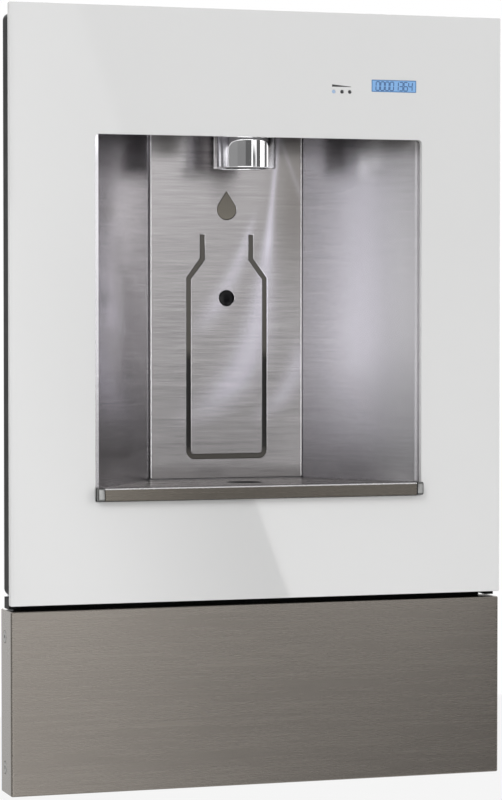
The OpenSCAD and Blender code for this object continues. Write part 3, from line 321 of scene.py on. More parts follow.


# painted light and shade bands: x as a polynomial in z, the widths at the span's ends, the span, its fade, the
# strength, the colour
# tones for painted shade, painted light and painted reflection streaks
dull, paintedLightTone, glint = (0.10, 0.095, 0.09), (0.80, 0.79, 0.84), (0.84, 0.81, 0.92)
# on the alcove walls: painted shade along the walls' tops, and painted reflections that brighten the side walls
shellPaintedLight = (
    ((0.125,), (0.034, 0.034), (0.500, 0.64), 0.018, 0.82, dull),
    ((0.055,), (0.030, 0.030), (0.500, 0.64), 0.018, 0.55, dull),
    ((0.106,), (0.032, 0.026), (0.235, 0.525), 0.05, 0.46, paintedLightTone),
    ((-0.125,), (0.024, 0.024), (0.27, 0.57), 0.08, 0.3, paintedLightTone),
    ((-0.105,), (0.045, 0.045), (0.495, 0.62), 0.02, 0.85, (0.92, 0.90, 0.95)),
)
# on the target plate: painted reflection streaks, and painted dark reflections and shade
targetPaintedLight = (
    ((-2.9119, 26.6247, -90.9034, 138.5622, -79.2142), (0.020, 0.0035), (0.268, 0.48), 0.05, 0.55, glint),
    ((-0.006, 0.1), (0.0030, 0.0022), (0.410, 0.545), 0.03, 0.6, glint),
    ((-0.5747, 2.3674, -2.3142), (0.012, 0.0035), (0.345, 0.47), 0.04, 0.35, glint),
    ((-1.0188, 6.281, -9.0898), (0.012, 0.009), (0.275, 0.36), 0.03, 0.33, glint),
    ((0.245, -0.375), (0.003, 0.002), (0.455, 0.545), 0.03, 0.3, glint),
    ((-0.0535,), (0.014, 0.012), (0.500, 0.60), 0.014, 0.6, dull),
    ((-0.004,), (0.012, 0.010), (0.452, 0.60), 0.05, 0.6, (0.13, 0.12, 0.12)),
    ((0.062,), (0.020, 0.026), (0.36, 0.62), 0.11, 0.62, (0.16, 0.145, 0.13)),
)
# the alcove's sheets: brushed upright walls, a slow wave, and painted shade darker toward the tray
brushedWithPaintedShade = dict(anisotropy=0.5, brush=(36, 36, 1700), grooves=0.0018 * mm, colourSpread=0.17, roughSpread=0.03,
               lowShade=(0.225, 0.36, 0.70), bow=(3 * mm, 6.0))

finishes = dict(
    white_glass=paintedGlass("whiteGlass", (0.757, 0.757, 0.754)),
    dark_carrier=plated("blackPaint", (0.012, 0.012, 0.012), 0.42, grain=900.0, metallic=0.0, IOR=1.1),
    cover_steel=brushed("coverSteel", (0.215, 0.196, 0.176), roughness=0.27, anisotropy=0.3,
                        brush=(18, 700, 800), grooves=0.0006 * mm, roughSpread=0.02),
    alcove_steel=brushed("alcoveSteel", (0.43, 0.42, 0.435), roughness=0.22, bands=shellPaintedLight, **brushedWithPaintedShade),
    chrome_trim=polished("chrome", (0.78, 0.78, 0.79), 0.025),
    galvanised=galvanisedSheet("galvanised", (0.50, 0.52, 0.54)),
    zinc_steel=plated("zincPlate", (0.50, 0.50, 0.48), 0.33),
    brass=plated("brass", (0.66, 0.46, 0.17), 0.3),
    white_plastic=plastic("whitePlastic", (0.72, 0.72, 0.69)),
    grey_plastic=plastic("greyPlastic", (0.09, 0.095, 0.10)),
    black_plastic=plastic("blackPlastic", (0.012, 0.012, 0.013), 0.2),
    black_rubber=plastic("rubber", (0.018, 0.018, 0.018), 0.7, depth=0.05 * mm),
    guide_plastic=plastic("smokedPlastic", (0.10, 0.092, 0.080), 0.32),
    display_blue=plastic("displayBlue", (0.10, 0.22, 0.42), 0.08, glow=((0.20, 0.40, 0.68), 0.5)),
    lamp_plastic=plastic("lampPlastic", (0.03, 0.03, 0.034), 0.12),
    circuit_board=laminate("circuitBoard", (0.010, 0.085, 0.030)),
    tube_plastic=plastic("tubePlastic", (0.66, 0.70, 0.72), 0.3, TransmissionWeight=0.35),
    red_plastic=plastic("redPlastic", (0.42, 0.02, 0.015), 0.3),
    blue_plastic=plastic("bluePlastic", (0.02, 0.06, 0.30), 0.3),
)
# a paler steel: a painted highlight on the target plate's hems and on the bar's upper front rounding
paintedHighlightSteel = plated("paintedHighlightSteel", (0.66, 0.65, 0.66), 0.26, grain=500.0, spread=0.03)
targetSteel = brushed("targetSteel", (0.39, 0.375, 0.38), roughness=0.21, bands=targetPaintedLight, **brushedWithPaintedShade)
capChrome = polished("capChrome", (0.15, 0.15, 0.148), 0.08)
screwSteel = plated("screwSteel", (0.30, 0.295, 0.285), 0.36)
traySteel = brushed("traySteel", (0.42, 0.40, 0.385), grooves=0.002 * mm, brush=(18, 800, 800), radial="Y")
barSteel = brushed("barSteel", (0.125, 0.113, 0.098))
darkPrint = plastic("darkPrint", (0.035, 0.035, 0.035), 0.15, depth=0.0)
displayRim = plastic("displayRim", (0.045, 0.13, 0.27), 0.1, depth=0.0, glow=((0.06, 0.17, 0.36), 0.45))
displayInk = plastic("displayInk", (0.02, 0.06, 0.16), 0.15, depth=0.0, glow=((0.03, 0.09, 0.22), 0.4))
litLamp = plastic("litLamp", (0.22, 0.30, 0.42), 0.1, depth=0.0, glow=((0.30, 0.40, 0.55), 0.5))
sensorBlack = plastic("sensorBlack", (0.004, 0.004, 0.005), 0.12, IOR=1.2)
# the light guide's smoked tone with a painted backlight
guideWithPaintedBacklight = smokedWithPaintedBacklight("guideWithPaintedBacklight", (0.008, 0.007, 0.006), (0.085, 0.078, 0.068), (348, 362, 268, 278))
frostedDrop = plastic("frostedDrop", (0.19, 0.17, 0.135), 0.3)

for row in frame["record"]["subparts"]:
    mesh = frame["nodes"][row["node"]].data
    mesh.materials.clear()
    mesh.materials.append(finishes[row["material_slot"]])
print("materials made")


# Shapes as whole arrays: each is its points, its faces and whether each face is smooth

def gridFaces(rows, columns):
    # quads between neighbouring rows, whose last column joins the first
    i, j = np.meshgrid(np.arange(rows - 1), np.arange(columns), indexing="ij")
    k = (j + 1) % columns
    return np.stack([i * columns + j, i * columns + k, (i + 1) * columns + k, (i + 1) * columns + j], -1).reshape(-1, 4)


def gridShape(grid):
    faces = gridFaces(*grid.shape[:2]).tolist()
    return grid.reshape(-1, 3), faces, [True] * len(faces)


def arc(centre, radius, start, end, steps):
    # points at even angles, centre + radius * (cos, sin)
    a = np.radians(np.linspace(start, end, steps + 1))
    return np.stack([centre[0] + radius * np.cos(a), centre[1] + radius * np.sin(a)], -1)


def roundedLoop(corners, steps=6):
    # corners are (x, y, radius), counter-clockwise; each becomes the arc that touches both its sides
    p = np.array([c[:2] for c in corners], float)
    rows = []
    for here, a, b, radius in zip(p, np.roll(p, 1, 0), np.roll(p, -1, 0), [c[2] for c in corners]):
        u, v = (a - here) / np.linalg.norm(a - here), (b - here) / np.linalg.norm(b - here)
        half = math.acos(np.clip(u @ v, -1, 1)) / 2
        if radius <= 0 or half > math.radians(89.9):
            rows.append(here[None])
            continue
        reach = radius / math.tan(half)
        centre = here + (u + v) / np.linalg.norm(u + v) * radius / math.sin(half)
        start, end = here + u * reach - centre, here + v * reach - centre
        t = np.linspace(0, 1, steps + 1)[:, None]
        sweep = math.pi - 2 * half
        # even angles from the first touching point to the second
        rows.append(centre + (np.sin((1 - t) * sweep) * start + np.sin(t * sweep) * end) / math.sin(sweep))
    return np.concatenate(rows)


def rectangle(x0, x1, y0, y1, radius):
    return roundedLoop([(x0, y0, radius), (x1, y0, radius), (x1, y1, radius), (x0, y1, radius)])


def circleLoop(x, y, radius, steps=48):
    return arc((x, y), radius, 0, 360 * (1 - 1 / steps), steps - 1)


def mirrored(loop):
    # the other half of a path that is the same on both sides of x = 0
    return loop[::-1] * [-1, 1]


def inwards(loop):
    # unit mitres towards the left of each point, longer at corners so that offsets stay parallel
    forward = np.roll(loop, -1, 0) - loop
    forward /= np.linalg.norm(forward, axis=1)[:, None]
    normal = np.stack([-forward[:, 1], forward[:, 0]], -1)
    mitre = normal + np.roll(normal, 1, 0)
    mitre /= np.linalg.norm(mitre, axis=1)[:, None]
    return mitre / np.maximum((mitre * normal).sum(1), 0.3)[:, None]


def signedArea(loop):
    x, y = loop[:, 0], loop[:, 1]
    return 0.5 * (x * np.roll(y, -1) - np.roll(x, -1) * y).sum()


def swept(path, normal, inset, height):
    # one row of points for each height: the path, moved along its normals by that row's inset
    flat = path + normal * np.reshape(inset, (len(height), -1, 1))
    return np.concatenate([flat, np.broadcast_to(np.reshape(height, (-1, 1, 1)), (*flat.shape[:2], 1))], -1)


def plate(outer, holes, low, high, edge=0.0, lowEdge=None):
    # a flat plate: each outline is drawn in by edge * (1 - sin a) while its depth goes edge * (1 - cos a)
    lowEdge = edge if lowEdge is None else lowEdge
    loops = [outer if signedArea(outer) > 0 else outer[::-1]]
    loops += [h if signedArea(h) < 0 else h[::-1] for h in holes]
    a = np.linspace(0, math.pi / 2, 4) if max(edge, lowEdge) > 0 else np.array([math.pi / 2])
    inset = np.concatenate([lowEdge * (1 - np.sin(a)), edge * (1 - np.sin(a[::-1]))])
    depth = np.concatenate([low + lowEdge * (1 - np.cos(a)), high - edge * (1 - np.cos(a[::-1]))])
    grids = [swept(loop, inwards(loop), inset, depth) for loop in loops]
    verts, faces, smooth = joined(*[gridShape(grid) for grid in grids])
    starts = np.cumsum([0] + [len(inset) * len(loop) for loop in loops])
    for ring, under in ((0, True), (-1, False)):
        index = np.concatenate([start + ring % len(inset) * len(loop) + np.arange(len(loop))
                                for start, loop in zip(starts, loops)])
        for triangle in tessellate_polygon([[Vector((x, y, 0)) for x, y, z in grid[ring]] for grid in grids]):
            q = verts[index[list(triangle)]]
            up = (q[1, 0] - q[0, 0]) * (q[2, 1] - q[0, 1]) - (q[2, 0] - q[0, 0]) * (q[1, 1] - q[0, 1]) > 0
            faces.append([int(index[k]) for k in (triangle if up != under else triangle[::-1])])
            smooth.append(False)
    return verts, faces, smooth


def turned(profile, steps=64):
    # rows of (radius, height), or of (radius, height, share of a hexagon), carried round the Z axis; an end on the
    # axis becomes one point with a fan
    profile = np.asarray(profile, float)
    rings = profile[profile[:, 0] > 0]
    a = np.linspace(0, 2 * math.pi, steps, endpoint=False)
    hexagon = math.cos(math.pi / 6) / np.cos(a % (math.pi / 3) - math.pi / 6)
    r = rings[:, :1] * (1 + (rings[:, 2:] if rings.shape[1] > 2 else 0) * (hexagon - 1))
    verts, faces, smooth = gridShape(np.stack([r * np.cos(a), r * np.sin(a), rings[:, 1:2] + 0 * a], -1))
    j = np.arange(steps)
    k, top = (j + 1) % steps, len(verts) - steps
    for (radius, height), ring in ((profile[0, :2], (k, j)), (profile[-1, :2], (top + j, top + k))):
        if radius == 0:
            faces += np.stack([*ring, np.full(steps, len(verts))], -1).tolist()
            verts = np.concatenate([verts, [[0, 0, height]]])
    return verts, faces, [True] * len(faces)


def onAxes(shape, axes, place=(0, 0, 0)):
    # swaps a shape's own X, Y and Z for the named axes, such as "xz-y", and moves it
    verts, faces, smooth = shape
    letters = axes.replace("-", "")
    columns = ["xyz".index(letter) for letter in letters]
    signs = [-1 if "-" + letter in axes else 1 for letter in letters]
    moved = np.zeros_like(verts)
    moved[:, columns] = verts * signs
    if np.linalg.det(np.eye(3)[columns].T * signs) < 0:
        faces = [f[::-1] for f in faces]
    return moved + np.array(place), faces, smooth


def joined(*shapes):
    verts, faces, smooth, start = [], [], [], 0
    for v, f, s in shapes:
        verts.append(v)
        faces += [[i + start for i in face] for face in f]
        smooth += s
        start += len(v)
    return np.concatenate(verts), faces, smooth


def frontPlate(loop, holes, front, back, edge=0.0, lowEdge=None):
    # plates that face the room: drawn in X and Z, with their front at the lower Y
    return onAxes(plate(loop, holes, front, back, edge, lowEdge), "xzy")


def piece(name, shape, slotName, replaced=(), body="housing", material=None, sharpAngle=38, second=None, inSecond=()):
    # inSecond says which faces wear the second material
    verts, faces, smooth = shape
    mesh = bpy.data.meshes.new(name)
    mesh.from_pydata(inMetres(verts).tolist(), [], faces)
    mesh.validate()
    mesh.set_sharp_from_angle(angle=math.radians(sharpAngle))
    mesh.polygons.foreach_set("use_smooth", smooth)
    mesh.materials.append(material or finishes[slotName])
    if second:
        mesh.materials.append(second)
        mesh.polygons.foreach_set("material_index", np.asarray(inSecond, int).tolist())
    made = linked(name, mesh)
    # large flat faces keep their own normal beside small roundings
    made.modifiers.new("faceNormals", "WEIGHTED_NORMAL").keep_sharp = True
    if isinstance(body, dict):
        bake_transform(made)
    else:
        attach(made, body)
    if replaced:
        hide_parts(*replaced)


# Glass front with its display

glass = dict(
    face=-34.0, back=-29.0, halfWidth=212.5, low=153.8, high=638.1, corner=1.0, edge=0.3, holeEdge=0.35,
    opening=(141.4, 236.6, 534.1), topCorner=3.0, footCorner=0.6,      # the opening: half width, foot and top
    display=(96.6, 136.3, 573.6, 583.6), displayCorner=0.5,
    lampXs=(63.1, 70.4, 77.2), lampHeight=572.9, lampRadius=1.5, fit=0.04,
    wedge=((61.5, 576.9), (78.3, 577.0), (78.3, 577.35), (61.5, 578.9)), printRise=0.015, overlap=0.3,
)


def makeGlass(d):
    outer = rectangle(-d["halfWidth"], d["halfWidth"], d["low"], d["high"], d["corner"])
    (half, low, high), top, foot = d["opening"], d["topCorner"], d["footCorner"]
    opening = roundedLoop([(-half, low, foot), (half, low, foot), (half, high, top), (-half, high, top)])
    holes = [opening, rectangle(*d["display"], d["displayCorner"])]
    holes += [circleLoop(x, d["lampHeight"], d["lampRadius"], 32) for x in d["lampXs"]]
    piece("frontGlass", frontPlate(outer, holes, d["face"], d["back"], d["edge"], d["holeEdge"]), "white_glass",
          ["front_glass"])
    mark = frontPlate(np.array(d["wedge"]), [], d["face"] - d["printRise"], d["face"] + d["overlap"])
    piece("wedgeMark", mark, "black_plastic", material=darkPrint)


display = dict(
    rear=-22.0, sink=0.05, border=0.7, borderDepth=0.012, innerCorner=0.3, overlap=0.1, paneOverlap=0.2,
    number="00001364", firstX=100.3, pitch=4.15, width=3.2, base=574.9, height=7.1, stroke=0.78, lean=0.05, gap=0.09,
    inkDepth=0.02,
    body=(95.6, 137.3, 572.1, 585.1, 0.6), bodyY=(-29.0, -23.0), foot=(94.6, 138.3, 570.6, 586.6, 1.0),
    footY=(-24.5, -22.0), edge=0.3, litLens=0, lensDome=0.35,
)
# the bars of a seven-bar digit by their ends, on a grid one wide and two high
digitBars = dict(a=((0, 2), (1, 2)), b=((1, 1), (1, 2)), c=((1, 0), (1, 1)), d=((0, 0), (1, 0)),
                 e=((0, 0), (0, 1)), f=((0, 1), (0, 2)), g=((0, 1), (1, 1)))
digitForms = {"0": "abcdef", "1": "bc", "2": "abged", "3": "abgcd", "4": "fgbc", "5": "afgcd",
              "6": "afgedc", "7": "abc", "8": "abcdefg", "9": "abcdfg"}


def barLoop(start, end, width, gap):
    # a bar with pointed ends, as six points round its middle line
    along = (end - start) / np.linalg.norm(end - start)
    side = np.array([-along[1], along[0]]) * width / 2
    a, b, push = start + along * gap, end - along * gap, along * width / 2
    return np.array([a, a + push - side, b - push - side, b, b - push + side, a + push + side])


def makeDisplay(d, g):
    x0, x1, low, high = g["display"]
    fit, border, front = g["fit"], d["border"], g["face"] + d["sink"]
    outline = rectangle(x0 + fit, x1 - fit, low + fit, high - fit, g["displayCorner"])
    pane = frontPlate(outline, [], front, g["back"] + d["paneOverlap"])
    blocks = [frontPlate(rectangle(*d[name]), [], *d[name + "Y"], d["edge"]) for name in ("body", "foot")]
    piece("displayPane", joined(pane, *blocks), "display_blue", ["lcd_display"])
    inner = rectangle(x0 + border, x1 - border, low + border, high - border, d["innerCorner"])
    rim = frontPlate(outline, [inner], front - d["borderDepth"], front + d["overlap"])
    piece("displayBorder", rim, "display_blue", material=displayRim)
    bars = []
    for place, letter in enumerate(d["number"]):
        for bar in digitForms[letter]:
            ends = np.array(digitBars[bar], float) * [d["width"], d["height"] / 2]
            ends[:, 0] += d["firstX"] + place * d["pitch"] + ends[:, 1] * d["lean"]
            ends[:, 1] += d["base"]
            bars.append(frontPlate(barLoop(*ends, d["stroke"], d["gap"]), [], front - d["inkDepth"],
                                   front + d["overlap"]))
    piece("displayDigits", joined(*bars), "display_blue", material=displayInk)


def makeLamps(d, g):
    # each lens is a domed rod: the dome is a parabola over the rod's radius
    r = g["lampRadius"] - g["fit"]
    dome = [(r * k, -(g["face"] + d["lensDome"] * k * k)) for k in np.linspace(0, 1, 9)]
    profile = dome + [(r, -d["rear"]), (0, -d["rear"])]
    for number, x in enumerate(g["lampXs"]):
        lit = number == d["litLens"]
        piece("lampLens%d" % number, onAxes(turned(profile[::-1], 32), "xz-y", (x, 0, g["lampHeight"])),
              "lamp_plastic", ["lamp_lenses"] if lit else (), material=litLamp if lit else None)


makeGlass(glass)
makeDisplay(display, glass)
makeLamps(display, glass)
print("glass and display made")


# Lower cover with its screws

cover = dict(
    halfWidth=212.0, front=-34.0, rear=-0.5, height=149.3, skin=1.2, bend=2.0, fold=1.2,
    topReturn=-10.0, bottomReturn=-2.0,
    screwY=-12.5, screwHeights=(21.1, 127.4), dimple=5.0, wallRun=0.45, reach=6.6, fine=0.2,
    headRadius=4.72, headThick=1.4, headEdge=0.45, keyRadius=1.6, keyDepth=0.9, shankRadius=2.0, shankEnd=8.5,
)


def fineAround(start, end, coarse, centres, d):
    # a coarse row of values with fine steps round each centre
    values = [np.linspace(start, end, coarse)]
    values += [np.arange(c - d["reach"], c + d["reach"] + d["fine"] / 2, d["fine"]) for c in centres]
    row = np.unique(np.round(np.concatenate(values), 4))
    return row[(row >= min(start, end)) & (row <= max(start, end))]


def makeCover(d):
    # the section (inset, height) is one closed loop of the sheet, carried along the plan's path
    half, bend, front = d["halfWidth"], d["bend"], d["front"]
    fold, high, skin = d["fold"], d["height"], d["skin"]
    ys = fineAround(d["rear"], front + bend, 6, [d["screwY"]], d)[::-1]
    left = np.stack([0 * ys - half, ys], -1)[:-1]
    corner = arc((-half + bend, front + bend), bend, 180, 270, 6)
    middle = np.stack([np.linspace(-half + bend, half - bend, 25), np.full(25, front)], -1)[1:-1]
    path = np.concatenate([left, corner, middle, mirrored(corner), mirrored(left)])
    leftIn, middleIn, cornerIn = 0 * left + [1, 0], 0 * middle + [0, 1], -(corner - [-half + bend, front + bend]) / bend
    inward = np.concatenate([leftIn, cornerIn, middleIn, mirrored(cornerIn), mirrored(leftIn)])
    hs = fineAround(fold, high - fold, 8, d["screwHeights"], d)
    a = np.linspace(0, math.pi / 2, 6)
    lowArc = np.stack([fold * (1 - np.sin(a)), fold * (1 - np.cos(a))], -1)
    highArc = lowArc[::-1] * [1, -1] + [0, high]
    outside = np.stack([0 * hs, hs], -1)
    inside = outside[::-1] + [skin, 0]
    section = np.concatenate([lowArc, outside[1:-1], highArc, inside])
    # the dimples draw the side walls in by one skin, within the dimple's radius, by a smooth step: 3 k^2 - 2 k^3
    onSide = np.abs(inward[:, 0]) > 0.999
    away = np.min([np.hypot(path[None, :, 1] - d["screwY"], section[:, 1, None] - h) for h in d["screwHeights"]], 0)
    radius = d["dimple"] + skin * (np.arange(len(section)) >= len(section) - len(inside))[:, None]
    k = np.clip((radius + d["wallRun"] / 2 - away) / d["wallRun"], 0, 1)
    drawn = skin * (k * k * (3 - 2 * k)) * onSide
    grid = swept(path, inward, section[:, :1] + drawn, section[:, 1]).transpose(1, 0, 2)
    columns, rows = grid.shape[:2]
    faces = gridFaces(columns, rows)[:, ::-1].tolist()
    faces += [list(range(rows)), list(range((columns - 1) * rows, columns * rows))[::-1]]
    shapes = [(grid.reshape(-1, 3), faces, [True] * len(faces))]
    edge = path + inward * fold
    for rear, low, top in ((d["topReturn"], high - skin, high), (d["bottomReturn"], 0.0, skin)):
        keep = edge[edge[:, 1] < rear]
        shapes.append(plate(np.concatenate([[[keep[0, 0], rear]], keep, [[keep[-1, 0], rear]]]), [], low, top))
    piece("lowerCover", joined(*shapes), "cover_steel", ["lower_cover"], "cover", sharpAngle=30)


def keyedHead(d):
    # a key socket, a dished land, a round edge and a shank
    r, key, thick, edge = d["headRadius"], d["keyRadius"], d["headThick"], d["headEdge"]
    shank, end, sunk = d["shankRadius"], -d["shankEnd"], thick - d["keyDepth"]
    rows = [(0, thick - key * 0.8 - 0.2, 1), (key * 0.5, sunk, 1), (key, sunk, 1), (key, thick - 0.12, 1),
            (key + 0.12, thick, 1), (key + 0.5, thick, 0.4)]
    rows += [(r - edge + edge * math.sin(a), thick - edge + edge * math.cos(a), 0)
             for a in np.linspace(0, math.pi / 2, 6)]
    rows += [(r, 0, 0), (shank, 0, 0), (shank, end + 0.5, 0), (shank - 0.5, end, 0), (0, end, 0)]
    return turned(rows[::-1], 72)


# the axes of what looks out of the right side and of the left side
bothSides = ((1, "yzx"), (-1, "y-z-x"))


def makeCoverScrews(d):
    head = keyedHead(d)
    screws = [onAxes(head, axes, (side * (d["halfWidth"] - d["skin"]), d["screwY"], height))
              for side, axes in bothSides for height in d["screwHeights"]]
    piece("coverScrews", joined(*screws), "chrome_trim", ["cover_screws"], "cover", screwSteel, sharpAngle=40)


makeCover(cover)
makeCoverScrews(cover)
print("cover made")


# Target plate with its light guide and sensor

target = dict(
    face=60.1, thick=1.5, halfWidth=67.8, low=248.4, high=555.6, corner=1.0, edge=0.1, rearEdge=0.6,
    neckHalf=21.7, bodyHalf=34.0, foot=267.2, footCorner=5.0, shoulderLow=419.0, shoulderHigh=435.5, neckTop=456.3,
    stroke=3.9, gap=0.12, sink=0.25, windowEdge=0.05, windowRear=0.25,
    hem=0.45, hemIn=0.5, hemOut=0.35, hemDepth=0.3, hemEdge=0.2,
    dropTip=493.6, dropLength=24.3, dropWidth=17.0, tipRadius=0.35, tipBack=0.9,
    sensorHeight=402.3, sensorRadius=6.5, sensorHole=6.7, lensOut=0.6, lensBulge=60.0, lensDepth=6.0,
    guide=(-40.0, 40.0, 264.0, 498.0, 2.0), guideThick=2.8, guideHole=9.2, guideEdge=0.2,
    postX=32.0, postHeights=(276.0, 486.0), postRadius=2.5, postLow=2.0, postHigh=8.4,
)


def bottlePath(d):
    # the bottle's middle line from its right shoulder's top round the foot to the left
    body, corner, foot = d["bodyHalf"], d["footCorner"], d["foot"]
    right = [(d["neckHalf"], d["neckTop"]), (d["neckHalf"], d["shoulderHigh"]), (body, d["shoulderLow"])]
    half = np.concatenate([right, arc((body - corner, foot + corner), corner, 0, -90, 8)])
    return np.concatenate([half, mirrored(half)])


def strokeLoop(path, width):
    # offsets a path to both sides by half the width, with square ends
    along = np.diff(path, axis=0)
    along /= np.linalg.norm(along, axis=1)[:, None]
    normal = np.stack([-along[:, 1], along[:, 0]], -1)
    mitre = np.concatenate([normal[:1], normal[:-1] + normal[1:], normal[-1:]])
    mitre /= np.linalg.norm(mitre, axis=1)[:, None]
    mitre /= np.concatenate([[1], (mitre[1:-1] * normal[1:]).sum(1), [1]])[:, None]
    return np.concatenate([path + mitre * width / 2, (path - mitre * width / 2)[::-1]])


def dropLoop(d, shrink=0.0):
    # a circle with two tangents that meet at the tip
    r = d["dropWidth"] / 2 - shrink
    middle = d["dropTip"] - d["dropLength"] + d["dropWidth"] / 2
    reach = d["dropTip"] - middle - 2 * shrink
    lift = math.degrees(math.acos(r / reach))
    body = arc((0, middle), r, 90 - lift, 90 + lift - 360, 40)
    return np.concatenate([body, arc((0, middle + reach - d["tipBack"]), d["tipRadius"], 90 + lift, 90 - lift, 4)])


def makeTarget(d):
    half, stroke, path = d["halfWidth"], d["stroke"], bottlePath(d)
    holes = [strokeLoop(path, stroke), dropLoop(d), circleLoop(0, d["sensorHeight"], d["sensorHole"])]
    front, back = d["face"] + d["sink"], d["face"] + d["thick"]
    sheet = frontPlate(rectangle(-half, half, d["low"], d["high"], d["corner"]), holes, d["face"], back, d["edge"],
                       d["rearEdge"])
    hems = [frontPlate(rectangle(x - d["hem"], x + d["hem"], d["low"] + 1, d["high"] - 1, 0.2), [],
                       d["face"] - d["hemOut"], d["face"] + d["hemDepth"], d["hemEdge"])
            for x in (-half + d["hemIn"], half - d["hemIn"])]
    shape = joined(sheet, *hems)
    # the hems wear the paler steel as a painted highlight along the plate's sides
    piece("targetPlate", shape, "alcove_steel", ["target_plate"], material=targetSteel, second=paintedHighlightSteel,
          inSecond=np.arange(len(shape[1])) >= len(sheet[1]))
    window = (front, back + 0.1, d["windowEdge"], d["windowRear"])
    bottle = frontPlate(strokeLoop(path, stroke - 2 * d["gap"]), [], *window)
    slab = frontPlate(rectangle(*d["guide"]), [circleLoop(0, d["sensorHeight"], d["guideHole"])], back,
                      back + d["guideThick"], d["guideEdge"])
    r, long = d["postRadius"], d["postHigh"] - d["postLow"]
    post = turned([(0, 0), (r, 0), (r, long), (0, long)], 24)
    posts = [onAxes(post, "x-zy", (x, back + d["postLow"], h)) for x in (-d["postX"], d["postX"])
             for h in d["postHeights"]]
    piece("lightGuide", joined(bottle, slab, *posts), "guide_plastic", ["light_guide"], material=guideWithPaintedBacklight)
    piece("dropWindow", frontPlate(dropLoop(d, d["gap"]), [], *window), "guide_plastic", material=frostedDrop)


def makeSensor(d):
    # the lens is a cap of a sphere on a short rod, with a rounded shoulder
    bulge, front, rear = d["lensBulge"], d["face"] - d["lensOut"], d["face"] + d["lensDepth"]
    radii = d["sensorRadius"] * np.sin(np.linspace(0, math.pi / 2, 14))
    dome = [(k, -(front + bulge - math.sqrt(bulge * bulge - k * k))) for k in radii]
    lens = turned((dome + [(d["sensorRadius"], -rear), (0, -rear)])[::-1])
    piece("sensorLens", onAxes(lens, "xz-y", (0, 0, d["sensorHeight"])), "black_plastic", ["sensor_lens"],
          material=sensorBlack)


makeTarget(target)
makeSensor(target)
print("target plate made")


# Nozzle

nozzle = dict(
    axisY=11.0, radius=26.0, low=510.0, high=556.0, boreRadius=23.0, boreHigh=540.0, rim=1.1,
    neckRadius=15.0, neckHigh=578.0, pipeRadius=4.0, socketRadius=5.1, socketLow=567.0,
)


def makeNozzle(d):
    # one closed profile round the upright axis, with its corners rounded first
    pipe, bore, neck, socket = d["pipeRadius"], d["boreRadius"], d["neckRadius"], d["socketRadius"]
    loop = roundedLoop([
        (pipe, d["boreHigh"], 0.4), (bore, d["boreHigh"], 1.0), (bore, d["low"], d["rim"]),
        (d["radius"], d["low"], d["rim"]), (d["radius"], d["high"], 0.4), (neck, d["high"], 0),
        (neck, d["neckHigh"], 0.6), (socket, d["neckHigh"], 0.4), (socket, d["socketLow"], 0),
        (pipe, d["socketLow"], 0)], 8)
    body = onAxes(turned(np.concatenate([loop, loop[:1]]), 128), "xyz", (0, d["axisY"], 0))
    piece("nozzleBody", body, "chrome_trim", ["nozzle_body"], sharpAngle=30)


makeNozzle(nozzle)
print("nozzle made")


# Tray with its front bar and end caps

tray = dict(
    front=-30.0, rear=59.1, halfFront=137.33, halfRear=68.87, frontCorner=1.2, rearCorner=1.5,
    height=247.8, foot=240.2, thick=1.0, fold=1.0,
    centreY=11.0, dishRadius=40.0, dishStart=38.0, ringRadius=17.0, holeRadius=15.0, sink=0.03, collar=7.0,
    barHalf=135.6, barFront=-40.6, barRear=-30.0, barLow=237.2, barHigh=247.8, barEdge=1.1, barEnd=0.25,
    capEnd=141.1, capFront=-41.0, capHigh=248.2, capEdge=1.7, capGap=0.5, capOuter=0.9, capInner=0.2,
)


def makeTray(d):
    half, halfRear, fold, t, high = d["halfFront"], d["halfRear"], d["fold"], d["thick"], d["height"]
    hole, ring, sink, collar = d["holeRadius"], d["ringRadius"], d["sink"], d["collar"]
    outline = roundedLoop([(-half, d["front"], d["frontCorner"]), (half, d["front"], d["frontCorner"]),
                           (halfRear, d["rear"], d["rearCorner"]), (-halfRear, d["rear"], d["rearCorner"])])
    # the skirt is a closed section (inset, height) carried round the outline
    a = np.linspace(0, math.pi / 2, 6)
    bend = np.stack([fold * (1 - np.cos(a)), high - fold * (1 - np.sin(a))], -1)
    section = np.concatenate([[(0, d["foot"])], bend, [(t, high - t), (t, d["foot"]), (0, d["foot"])]])
    skirt = gridShape(swept(outline, inwards(outline), section[:, 0], section[:, 1]))
    floor = plate(outline + inwards(outline) * fold, [circleLoop(0, d["centreY"], d["dishRadius"], 96)], high - t, high)
    dish = roundedLoop([
        (d["dishRadius"], -t, 0), (d["dishRadius"], 0, 0), (d["dishStart"], 0, 6.0), (ring, -sink, 3.0),
        (hole, -sink, 0.6), (hole, -collar, 0.2), (hole + t, -collar, 0.2), (hole + t, -sink - t, 0.3),
        (ring, -sink - t, 3.0), (d["dishStart"], -t, 6.0)])
    verts, faces, smooth = turned(np.concatenate([dish, dish[:1]]), 96)
    centre = np.array([0, d["centreY"], high])
    verts, faces, smooth = joined(skirt, floor, (verts + centre, [f[::-1] for f in faces], smooth))
    # the collar in the hole is lined with rubber
    middles = np.array([verts[f].mean(0) for f in faces]) - centre
    lined = (np.hypot(middles[:, 0], middles[:, 1]) < hole + 0.4) & (middles[:, 2] < -0.1)
    piece("dripTray", (verts, faces, smooth), "alcove_steel", ["drip_tray"], "tray", traySteel, 30,
          finishes["black_rubber"], lined)


def barShape(front, rear, low, high, edge, x0, x1, endEdge, startEdge=None):
    # a section in Y and Z with round front corners, carried along X
    loop = roundedLoop([(front, low, edge), (rear, low, 0.2), (rear, high, 0.2), (front, high, edge)])
    return onAxes(plate(loop, [], x0, x1, endEdge, startEdge), "yzx")


